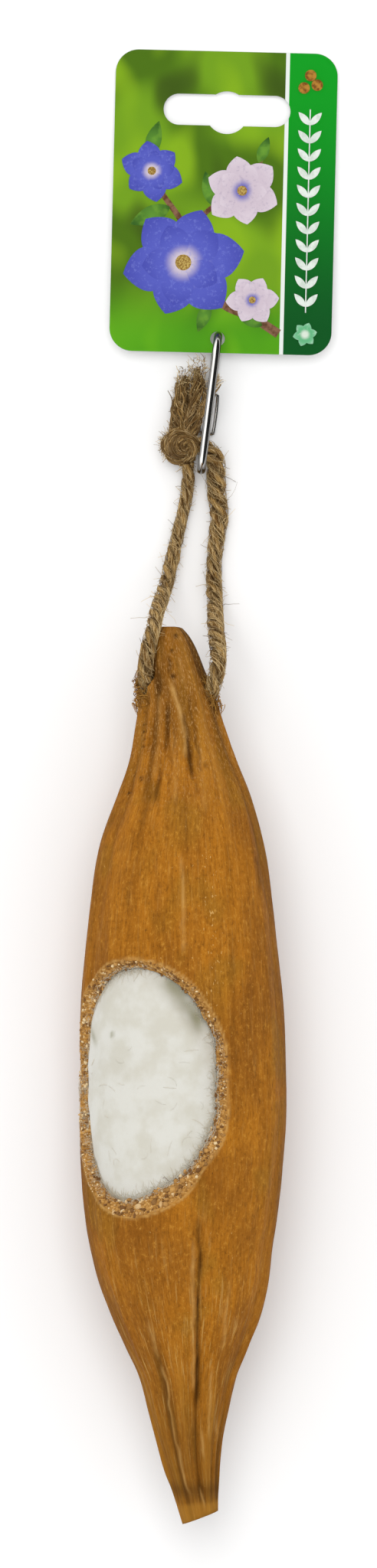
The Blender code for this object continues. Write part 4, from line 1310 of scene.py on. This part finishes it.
def skin_values(points):
    """What the husk's material needs to know at each point of its skin."""
    place = points[:, 1]
    across, upwards = points[:, 0] - axis_drift(place), points[:, 2] - axis_height(place)
    half = half_width(place)
    angle = np.degrees(np.arctan2(across / half, upwards / (half * DEPTH_TO_WIDTH)))
    depth = half - np.hypot(across, upwards / DEPTH_TO_WIDTH)
    _, dark, pale, shade = skin_marks(points, angle)
    seams = husk_relief(angle, place)
    seams *= 1.0 - 0.85 * hump(angle_between(angle, SEAMS[0][0]), FRONT_SEAM_SPREAD)
    # Painted shade in the seam valleys: darker where the seams sink in.
    dark = np.maximum(dark, 0.40 * smooth_step(0.25, 0.9, -seams))
    turn, reach = window_polar(angle, place)
    edge = reach - skin_edge(turn)
    rim = smooth_step(0.45, 0.9, depth) * (1.0 - smooth_step(1.5, 4.0, edge))
    rim = np.maximum(rim, 1.0 - smooth_step(-0.3, 0.15, edge))
    pale = np.maximum(pale, 0.75 * hump(edge - 0.30, 0.28) * (depth < 1.5))
    ends = 0.42 * smooth_step(*NECK_DARKENS, place) + 0.45 * smooth_step(*TAIL_DARKENS, -place)
    right_side = hump(angle_between(angle, 88.0), 36.0) * smooth_step(84.0, 98.0, place)
    ends = np.maximum(ends, 0.95 * right_side)
    dark = np.maximum(dark, 0.62 * right_side)
    # Painted shade on the pod's sides, where they turn away from the top.
    ends = np.maximum(ends, 0.42 * hump(angle_between(np.abs(angle), 90.0), 22.0))
    scuffs = hump(points[:, 0] - SCUFFS_AT, SCUFFS_WIDTH) * smooth_step(8.0, 20.0, place)
    scuffs = scuffs * (1.0 - smooth_step(48.0, 60.0, place)) * (points[:, 2] > AXIS_HEIGHT)
    wavy = 0.5 * soft_noise(points * 0.4, 71)
    tip = 1.0 - smooth_step(-108.6, -107.0, place - 0.12 * (points[:, 0] - 5.0) + wavy)
    dark = np.maximum(dark, 0.45 * hump(place - TIP_LINE_AT, TIP_LINE_WIDTH))
    from_cut = place - HUSK_STATIONS[0][0] - TIP_CUT_SLOPE * across
    dark = np.maximum(dark, 0.75 * (1.0 - smooth_step(0.1, 0.8, from_cut)))
    return {
        "scuffs": scuffs,
        # Painted shade and highlight from the folds' relief and from the shade round the marks.
        "fold_shade_and_highlight": end_folds(angle, place) * end_share(place) + shade,
        "wear": 0.15 + 0.75 * smooth_step(*TAIL_WEARS, -place),
        "grain": grain_places(angle, place),
        "groove": dark,
        "pale": pale,
        "rim": rim,
        "ends": ends,
        "tip": tip * TIP_PALENESS,
        "neck": smooth_step(*NECK_CHANGES, place),
    }


def ball_points(level):
    work = bmesh.new()
    bmesh.ops.create_icosphere(work, subdivisions=level, radius=1.0)
    points = np.array([v.co[:] for v in work.verts])
    faces = np.array([[v.index for v in f.verts] for f in work.faces])
    work.free()
    return points, faces


def make_crumbs():
    """Broken spongy bits along the window's cut edge."""
    rng = np.random.default_rng(5)
    count = CRUMBS
    ball, faces = ball_points(1)
    turn = rng.random(count) * 360.0
    change = 0.05 - 3.1 * rng.random(count)
    reach = cut_reach(turn, change) + rng.normal(0, 0.16, count)
    spots = pod_points(*window_place(turn, reach), change - 0.06)
    wide = smooth_step(1.0, 4.5, skin_edge(turn) - wall_edge(turn))
    size = 0.15 + (0.30 + 0.42 * wide) * rng.random(count) ** 2.5
    shape = size[:, None] * (0.6 + 0.8 * rng.random((count, 3)))
    rough = 1.0 + 0.4 * rich_noise(ball[None] * 1.6 + rng.random((count, 1, 3)) * 50, 7, 2)
    points = spots[:, None] + ball[None] * shape[:, None] * rough[..., None]
    all_faces = (faces[None] + np.arange(count)[:, None, None] * len(ball)).reshape(-1, 3).tolist()
    crumbs = make_piece("rim_crumbs", points.reshape(-1, 3), all_faces, crumb_look())
    paler = 0.30 * hump(angle_between(turn, 180.0), 50.0)
    tone = np.clip(rng.random(count) + paler, 0.0, 1.0)
    add_values(crumbs.data, "tone", np.repeat(tone, len(ball)))


def make_hole_fibres():
    """Torn bark fibres round the two holes where the cord goes into the neck."""
    rng = np.random.default_rng(29)
    count, steps = HOLE_FIBRES, 7
    t = np.linspace(0.0, 1.0, steps)[None, :]
    made = []
    for spot in (LEFT_HOLE, RIGHT_HOLE):
        half = half_width(spot[1])
        across, upwards = spot[0] - axis_drift(spot[1]), spot[2] - axis_height(spot[1])
        middle = math.degrees(math.atan2(across, upwards / DEPTH_TO_WIDTH))
        turn = rng.random(count)[:, None] * 2 * np.pi
        start = 0.9 + 1.5 * rng.random(count)[:, None]
        heading = turn + rng.normal(0, 0.8, count)[:, None] + rng.normal(0, 0.8, count)[:, None] * t
        length = 0.8 + 2.2 * rng.random(count)[:, None]
        u = start * np.cos(turn) + length * t * np.cos(heading)
        v = start * np.sin(turn) * 1.3 + length * t * np.sin(heading) * 1.4
        angle, place = middle + np.degrees(u / half), spot[1] + v
        rise = (0.3 + 1.5 * rng.random(count)[:, None] ** 2) * (1.0 - t) ** 1.5
        lift = 0.06 + rise + 0.5 * rng.random(count)[:, None] * np.sin(np.pi * t)
        made.append(pod_points(angle, place, skin_change(angle, place) + lift))
    paths = np.concatenate(made)
    radii = np.linspace(0.10, 0.035, steps)[None, :] * (0.6 + 0.8 * rng.random(len(paths)))[:, None]
    look = fibre_look("bark_fibre", (0.16, 0.058, 0.006), (0.52, 0.27, 0.055), 0.95)
    make_fibres("hole_fibres", paths, radii, rng.random(len(paths)), look)


SHADOW_TURN = 52.0
# Two marks in the floss: where they are in plan, and the second one's slant
SPECK_AT = (-16.9, 10.0)
SMUDGE_AT = (-21.7, 9.6)
SMUDGE_LEAN = 0.3
LOOSE_HAIR_AT = (-12.3, -25.7)
FLOSS_RINGS = 230
FLOSS_SEGMENTS = 200
FLOSS_FIBRES = 2400


def floss_change(angle, place):
    change = cavity_change(place) - FLOSS_GAP
    turn, reach = window_polar(angle, place)
    share = np.minimum(reach / wall_edge(turn), 1.3)
    near_shadow = hump(angle_between(turn, SHADOW_TURN), 20.0) * smooth_step(0.72, 0.95, share)
    bulge = 2.3 * (1.0 - np.minimum(share / 1.02, 1.0) ** 5)
    spot = grain_places(angle, place)
    billow = rich_noise(spot * 0.075, 41, 3)
    tufts = rich_noise(spot * 0.4, 43, 2)
    inside = 1.0 - smooth_step(0.85, 1.2, share)
    soft = 0.60 * billow + 0.07 * tufts - 1.9 * near_shadow
    return change + bulge + soft * inside - 0.25 * (1 - inside)


def make_floss():
    places = np.linspace(CAVITY_LOW + 1.0, CAVITY_HIGH - 1.0, FLOSS_RINGS)
    angle, place = ring_grid(places, FLOSS_SEGMENTS)
    rings = pod_points(angle, place, floss_change(angle, place))
    points, faces = skin_rings(rings)
    body = make_piece("floss_mass", points, faces, floss_look(), stands_for=("floss",))
    x, place = points[:, 0], points[:, 1]
    around = np.degrees(np.arctan2(x - axis_drift(place), points[:, 2] - axis_height(place)))
    stain_and_rim_shadow = 0.9 * hump(x - SPECK_AT[0], 0.45) * hump(place - SPECK_AT[1], 0.7)
    right, along = x - SMUDGE_AT[0], place - SMUDGE_AT[1]
    stain_and_rim_shadow = np.maximum(stain_and_rim_shadow, 0.7 * hump(right + SMUDGE_LEAN * along, 0.5) * hump(along, 2.0))
    turn, reach = window_polar(around, place)
    past = reach - wall_edge(turn)
    # Painted shadow: darker floss along the window's edge, and darker still in a band under the rim at the
    # top right, where the rim shades it.
    edge = hump(past - 0.4, 2.2)
    inner = hump(past + 1.6, 3.0) * smooth_step(33.0, 44.0, turn)
    cloudy = 0.85 + 0.45 * soft_noise(points * 0.42, 47)
    stain_and_rim_shadow = np.maximum(stain_and_rim_shadow, 0.80 * inner * cloudy * (1.0 - smooth_step(62.0, 90.0, turn)))
    stain_and_rim_shadow = np.maximum(stain_and_rim_shadow, 0.14 * edge)
    stain_and_rim_shadow[points[:, 2] < AXIS_HEIGHT] = 0.0
    add_values(body.data, "stain_and_rim_shadow", stain_and_rim_shadow)
    outward(body)


def make_floss_fibres():
    """Curled fibres that lie on the floss, most of them along the window's edge."""
    rng = np.random.default_rng(19)
    count, steps = FLOSS_FIBRES, 7
    turn = rng.random(count) * 360.0
    shaded = (turn > 36.0) & (turn < 84.0) & (rng.random(count) < 0.9)
    turn = np.where(shaded, turn + 120.0, turn)
    share = np.where(rng.random(count) < 0.985, 0.96 + 0.08 * rng.random(count), np.sqrt(rng.random(count)))
    heading = rng.random(count) * 2 * np.pi
    curl = rng.normal(0, 1.1, count)
    length = 1.2 + 3.0 * rng.random(count)
    reach = share * wall_edge(turn)
    across, along = reach * np.cos(np.radians(turn)), reach * np.sin(np.radians(turn))
    t = np.linspace(0.0, 1.0, steps)
    heads = heading[:, None] + curl[:, None] * t[None, :]
    step = length[:, None] / (steps - 1)
    u = across[:, None] + np.cumsum(np.cos(heads) * step, axis=1)
    u = u - 0.5 * length[:, None] * np.cos(heading)[:, None]
    v = along[:, None] + np.cumsum(np.sin(heads) * step, axis=1)
    v = v - 0.5 * length[:, None] * np.sin(heading)[:, None]
    spot_turn, spot_reach = np.degrees(np.arctan2(v, u)), np.hypot(u, v)
    over = 1.2 + 1.0 * hump(angle_between(spot_turn, 180.0), 50.0)
    limit = wall_edge(spot_turn) + over * (rng.random(count)[:, None]) ** 2 - 0.1
    keep = np.minimum(spot_reach, limit) / np.maximum(spot_reach, 1e-6)
    u, v = u * keep, v * keep
    angle = WINDOW_ANGLE + np.degrees(u / WINDOW_ARC_RADIUS)
    place = WINDOW_PLACE + v
    lift = 0.02 + (0.06 + 0.24 * rng.random(count))[:, None] * np.sin(np.pi * t)[None, :]
    turn, reach = window_polar(angle, place)
    skin, wall = skin_edge(turn), wall_edge(turn)
    cut_height = HUSK_WALL * (np.clip((reach - wall) / (skin - wall), 0.0, 1.0) - 1.0)
    base = floss_change(angle, place)
    base = np.where(reach > wall, np.maximum(base, cut_height + 0.08), base)
    paths = pod_points(angle, place, base + lift)
    radii = np.full((count, steps), 0.032) * (0.7 + 0.8 * rng.random(count))[:, None]
    radii[:, [0, -1]] *= 0.5
    look = fibre_look("floss_fibre", (0.62, 0.49, 0.31), (0.72, 0.70, 0.62), 0.95)
    over_rim = smooth_step(0.0, 0.8, (reach - wall).max(axis=1))
    tones = rng.random(count) ** 0.5 * (1.0 - 0.6 * over_rim)
    make_fibres("floss_fibres", paths, radii, tones, look)


def make_loose_hair():
    """The one dark bent hair that lies low in the window."""
    t = np.linspace(0.0, 1.0, 14)
    angle = LOOSE_HAIR_AT[0] + 4.6 * t
    place = LOOSE_HAIR_AT[1] - 0.5 * t + 0.35 * np.sin(5.0 * t)
    path = pod_points(angle, place, floss_change(angle, place) + 0.32)
    look = fibre_look("dark_hair", (0.16, 0.085, 0.04), (0.22, 0.12, 0.06))
    make_fibres("floss_hair", path[None], np.full((1, len(t)), 0.065), np.array([0.4]), look)


CORNER_STEPS = 14


def rounded_outline(width, height, corner, centre=(0.0, 0.0)):
    steps, outline = CORNER_STEPS, []
    for quarter, (sx, sy) in enumerate(((1, 1), (-1, 1), (-1, -1), (1, -1))):
        for k in range(steps + 1):
            turn = math.pi / 2 * (quarter + k / steps)
            x = centre[0] + sx * (width / 2 - corner) + corner * math.cos(turn)
            y = centre[1] + sy * (height / 2 - corner) + corner * math.sin(turn)
            if not outline or math.dist(outline[-1], (x, y)) > 0.001:
                outline.append((x, y))
    return outline


def round_outline(diameter, centre, sides=48):
    turns = [2 * math.pi * k / sides for k in range(sides)]
    return [(centre[0] + diameter / 2 * math.cos(t), centre[1] + diameter / 2 * math.sin(t)) for t in turns]


def block(outline, low, high):
    count = len(outline)
    points = [(x, y, low) for x, y in outline] + [(x, y, high) for x, y in outline]
    faces = [tuple(reversed(range(count))), tuple(range(count, 2 * count))]
    for k in range(count):
        m = (k + 1) % count
        faces.append((k, m, m + count, k + count))
    return points, faces


def card_matrix():
    return (
        Matrix.Translation(Vector(CARD_CENTRE) * MM)
        @ Matrix.Rotation(math.radians(CARD_TURN), 4, "Z")
        @ Matrix.Rotation(math.radians(CARD_SLOPE), 4, "X")
    )


STRIPE_AT = 15.4
PRINT_LIFT = 0.012
PRINT_STEP = 0.004
# Blossoms: middle, size, turn; leaves: foot, length, direction; all on the card's own plane
BLOSSOMS = ((-9.8, -15.5, 15.6, 12.0), (4.6, 3.0, 9.8, 40.0), (-18.3, 7.5, 8.2, -20.0),
            (7.8, -24.6, 6.8, 5.0))
PALE_BLOSSOMS = (1, 3)
TWIG = ((14.6, -33.0), (8.0, -29.0), (0.0, -25.5), (-6.0, -17.0), (-10.0, -6.0), (-16.5, 3.5), (-20.0, 13.5))
SIDE_TWIG = ((-9.4, -8.0), (-3.0, -1.5), (4.8, 3.2), (9.5, 11.0))
LEAVES = ((-13.5, -1.5, 11.0, 205.0), (-19.2, 11.0, 9.5, 75.0), (8.6, 10.2, 7.0, 70.0),
          (-2.5, -1.0, 9.0, 105.0), (-3.0, -25.5, 8.0, 250.0), (10.5, -31.0, 6.5, 160.0))
STRIP_MIDDLE = 21.3
STRIP_LEAVES = 11
STRIP_LEAVES_FROM = -26.0
STRIP_LEAF_STEP = 4.6
STRIP_LEAF_LEAN = 42.0
BERRIES = ((19.6, 29.4), (22.9, 30.2), (21.2, 32.6))


def card_look():
    look = Look("card_print")
    place = look.attribute("flat")
    split = look.nodes.new("ShaderNodeSeparateXYZ")
    look.links.new(place, split.inputs[0])
    x, y, z = split.outputs
    blur = look.noise(place, 0.040, 0.0, 0.4, 0.4)
    spots = look.noise(look.stretch(place, (1.0, 0.7, 1.0)), 0.075, 0.5, 0.4)
    colour = look.mix(look.band(blur, 0.38, 0.60), (0.066, 0.150, 0.007), (0.150, 0.31, 0.011))
    colour = look.coat(colour, (0.22, 0.40, 0.010), spots, 0.50, 0.68, 0.0, 0.85)
    colour = look.coat(colour, (0.036, 0.066, 0.008), spots, 0.44, 0.28, 0.0, 0.75)
    colour = look.coat(colour, (0.085, 0.42, 0.008), y, -18.0, -36.0, 0.0, 0.60)
    strip = look.mix(look.band(y, -34.0, 36.0), (0.0045, 0.082, 0.014), (0.004, 0.30, 0.013))
    colour = look.coat(colour, strip, x, STRIPE_AT + 0.45, STRIPE_AT + 0.5)
    inside = look.sum("MULTIPLY", look.band(x, STRIPE_AT - 0.52, STRIPE_AT - 0.46),
                      look.band(x, STRIPE_AT + 0.52, STRIPE_AT + 0.46))
    colour = look.mix(inside, colour, (0.72, 0.76, 0.72))
    face = look.band(z, CARD_THICKNESS / 2 - 0.09, CARD_THICKNESS / 2 - 0.05)
    paper = look.noise(place, 1.4, 4.0, 0.7)
    white = look.mix(paper, (0.66, 0.68, 0.65), (0.76, 0.78, 0.75))
    back = look.band(z, 0.05 - CARD_THICKNESS / 2, 0.09 - CARD_THICKNESS / 2)
    colour = look.mix(face, look.mix(back, white, (0.50, 0.54, 0.50)), colour)
    card_gloss(look, colour)
    return look.material


def card_gloss(look, colour):
    look.set(Base_Color=colour, Roughness=0.12)
    look.set(Specular_IOR_Level=0.5)


def petal_look(name, middle, far, rim, vein):
    look = Look(name)
    out, place = look.attribute("petal", "Fac"), look.attribute("flat")
    veins = look.noise(place, 1.2, 3.0, 0.6)
    colour = look.mix(look.band(out, 0.14, 0.5), middle, far)
    colour = look.coat(colour, rim, out, 0.55, 1.0, 0.0, 0.6)
    colour = look.coat(colour, vein, veins, 0.52, 0.7, 0.0, 0.35)
    card_gloss(look, colour)
    return look.material


def leaf_look():
    look = Look("print_leaves")
    out, place = look.attribute("petal", "Fac"), look.attribute("flat")
    blotch = look.noise(place, 0.4, 2.0, 0.5)
    colour = look.mix(out, (0.10, 0.26, 0.03), (0.020, 0.075, 0.012))
    colour = look.coat(colour, (0.15, 0.33, 0.03), blotch, 0.45, 0.65, 0.0, 0.5)
    card_gloss(look, colour)
    return look.material


def plain_print(name, dark, light, scale):
    look = Look(name)
    grain = look.noise(look.attribute("flat"), scale, 3.0, 0.6)
    card_gloss(look, look.mix(look.band(grain, 0.35, 0.65), dark, light))
    return look.material


def printed(name, shapes, material):
    """Thin closed layers of print: each shape is its outline, its middle and its level."""
    low, top = CARD_THICKNESS / 2 - 0.05, CARD_THICKNESS / 2 + PRINT_LIFT
    points, faces, outs = [], [], []
    for outline, middle, level in shapes:
        base, count = len(points), len(outline)
        high = top + PRINT_STEP * level
        points += [(x, y, low) for x, y in outline] + [(x, y, high) for x, y in outline]
        points += [(*middle, low), (*middle, high)]
        reach = max(math.dist(middle, spot) for spot in outline)
        outs += [math.dist(middle, spot) / reach for spot in outline] * 2 + [0.0, 0.0]
        for k in range(count):
            m = (k + 1) % count
            faces.append((base + k, base + m, base + m + count, base + k + count))
            faces.append((base + k + count, base + m + count, base + 2 * count + 1))
            faces.append((base + m, base + k, base + 2 * count))
    obj = make_piece(name, points, faces, material)
    obj.data.shade_flat()
    add_values(obj.data, "petal", outs)
    add_values(obj.data, "flat", np.array(points))
    outward(obj)
    obj.data.transform(card_matrix())
    return obj


def moved_on(foot, length, direction):
    turn = math.radians(direction)
    return foot[0] + length * math.cos(turn), foot[1] + length * math.sin(turn)


def petal_outline(foot, length, width, direction, blunt, steps=18):
    """Outline of a petal or leaf that grows from its foot in a direction."""
    turn = math.radians(direction)
    outline = []
    for k in range(2 * steps):
        t = k / steps if k <= steps else 2 - k / steps
        half = width / 2 * math.sin(math.pi * t**blunt) ** 0.85 if 0 < t < 1 else 0.0
        half = half if k <= steps else -half
        along = length * t
        outline.append((foot[0] + along * math.cos(turn) - half * math.sin(turn),
                        foot[1] + along * math.sin(turn) + half * math.cos(turn)))
    return outline


def twig_outline(route, width):
    flat = np.array(smooth_route([(*spot, 0.0) for spot in route], 1.2))[:, :2]
    along = np.gradient(flat, axis=0)
    along /= np.linalg.norm(along, axis=1)[:, None]
    across = np.stack([-along[:, 1], along[:, 0]], axis=1)
    half = width / 2 * np.linspace(1.0, 0.45, len(flat))[:, None]
    return flat, across * half


def make_prints():
    level = 1
    twigs = []
    for route, width in ((TWIG, 2.4), (SIDE_TWIG, 1.5)):
        flat, half = twig_outline(route, width)
        for k in range(len(flat) - 1):
            quad = [tuple(flat[k] - half[k]), tuple(flat[k + 1] - half[k + 1]),
                    tuple(flat[k + 1] + half[k + 1]), tuple(flat[k] + half[k])]
            twigs.append((quad, tuple((flat[k] + flat[k + 1]) / 2), level))
        level += 1
    printed("print_twig", twigs, plain_print("print_twig", (0.10, 0.045, 0.022), (0.22, 0.115, 0.065), 0.8))
    leaves = []
    for x, y, length, direction in LEAVES:
        outline = petal_outline((x, y), length, length * 0.42, direction, 0.85)
        leaves.append((outline, moved_on((x, y), 0.45 * length, direction), level))
        level += 1
    printed("print_leaves", leaves, leaf_look())
    petals, pale_petals, eyes = [], [], []
    for number, (x, y, size, turn) in enumerate(BLOSSOMS):
        into = pale_petals if number in PALE_BLOSSOMS else petals
        for ring, (count, share) in enumerate(((6, 1.0), (5, 0.72))):
            for k in range(count):
                direction = turn + 360.0 * k / count + 30.0 * ring
                reach = size * share * (0.94 + 0.06 * math.cos(k * 2.3))
                outline = petal_outline((x, y), reach, reach * 0.74, direction, 1.25)
                into.append((outline, (x, y), level))
                level += 1
        eyes.append((round_outline(size * 0.26, (x, y), 20), (x, y), level))
        level += 1
    blue = petal_look("print_blue", (0.60, 0.52, 0.57), (0.085, 0.10, 0.46),
                      (0.045, 0.05, 0.33), (0.20, 0.23, 0.62))
    pale = petal_look("print_lilac", (0.12, 0.12, 0.42), (0.56, 0.47, 0.54),
                      (0.66, 0.58, 0.64), (0.30, 0.24, 0.36))
    printed("print_blossoms", petals, blue)
    printed("print_pale_blossoms", pale_petals, pale)
    printed("print_eyes", eyes, plain_print("print_eyes", (0.20, 0.10, 0.02), (0.50, 0.36, 0.10), 2.5))
    strip = []
    for k in range(STRIP_LEAVES):
        foot = (STRIP_MIDDLE, STRIP_LEAVES_FROM + STRIP_LEAF_STEP * k)
        for side in (-1, 1):
            direction = 90.0 - side * STRIP_LEAF_LEAN
            outline = petal_outline(foot, 4.4, 1.7, direction, 0.9, 9)
            strip.append((outline, moved_on(foot, 2.0, direction), level))
        level += 1
    berries, rosette = [], []
    for x, y in BERRIES:
        berries.append((round_outline(2.9, (x, y), 24), (x - 0.4, y + 0.4), level))
        level += 1
    brown = plain_print("print_berries", (0.16, 0.055, 0.010), (0.42, 0.20, 0.030), 1.1)
    printed("print_berries", berries, brown)
    middle = (STRIP_MIDDLE, -33.0)
    for k in range(6):
        rosette.append((petal_outline(middle, 3.1, 2.2, 60.0 * k + 12.0, 1.1, 9), middle, level))
        level += 1
    printed("print_rosette", rosette, petal_look("print_rosette", (0.62, 0.70, 0.60), (0.12, 0.42, 0.20),
                                                 (0.30, 0.56, 0.38), (0.55, 0.70, 0.55)))
    stem = [(21.15, -27.5), (21.45, -27.5), (21.45, 24.0), (21.15, 24.0)]
    strip.append((stem, (STRIP_MIDDLE, -2.0), level))
    white = plain_print("print_pale", (0.55, 0.62, 0.55), (0.70, 0.76, 0.70), 0.5)
    printed("print_strip_sprig", strip, white)


def make_card():
    look = card_look()
    half = CARD_THICKNESS / 2
    outline = rounded_outline(CARD_WIDTH, CARD_HEIGHT, CARD_CORNER)
    plate = plain_object("card_plate", *block(outline, -half, half), look)
    slot = rounded_outline(SLOT_LENGTH, SLOT_HEIGHT, SLOT_HEIGHT / 2 - 0.01, SLOT_CENTRE)
    bump = round_outline(SLOT_BUMP, (SLOT_CENTRE[0], SLOT_CENTRE[1] - SLOT_BUMP_DROP))
    punch = round_outline(PUNCH_DIAMETER - 0.7, PUNCH_CENTRE)
    for shape in (slot, bump, punch):
        cut_with(plate, "card_cutter", *block(shape, -2.0, 2.0), look)
    bevel = plate.modifiers.new("edge", "BEVEL")
    bevel.width = 0.12 * MM
    bevel.segments = 2
    bevel.limit_method = "ANGLE"
    bevel.angle_limit = math.radians(50)
    apply_modifiers(plate)
    add_values(plate.data, "flat", mesh_points(plate.data))
    plate.data.shade_flat()
    plate.data.transform(card_matrix())
    settle(plate, stands_for=("card",))
    make_prints()


make_camera()
make_studio()
make_cords()
make_clip()
make_husk()
make_crumbs()
make_hole_fibres()
make_floss()
make_floss_fibres()
make_loose_hair()
make_card()

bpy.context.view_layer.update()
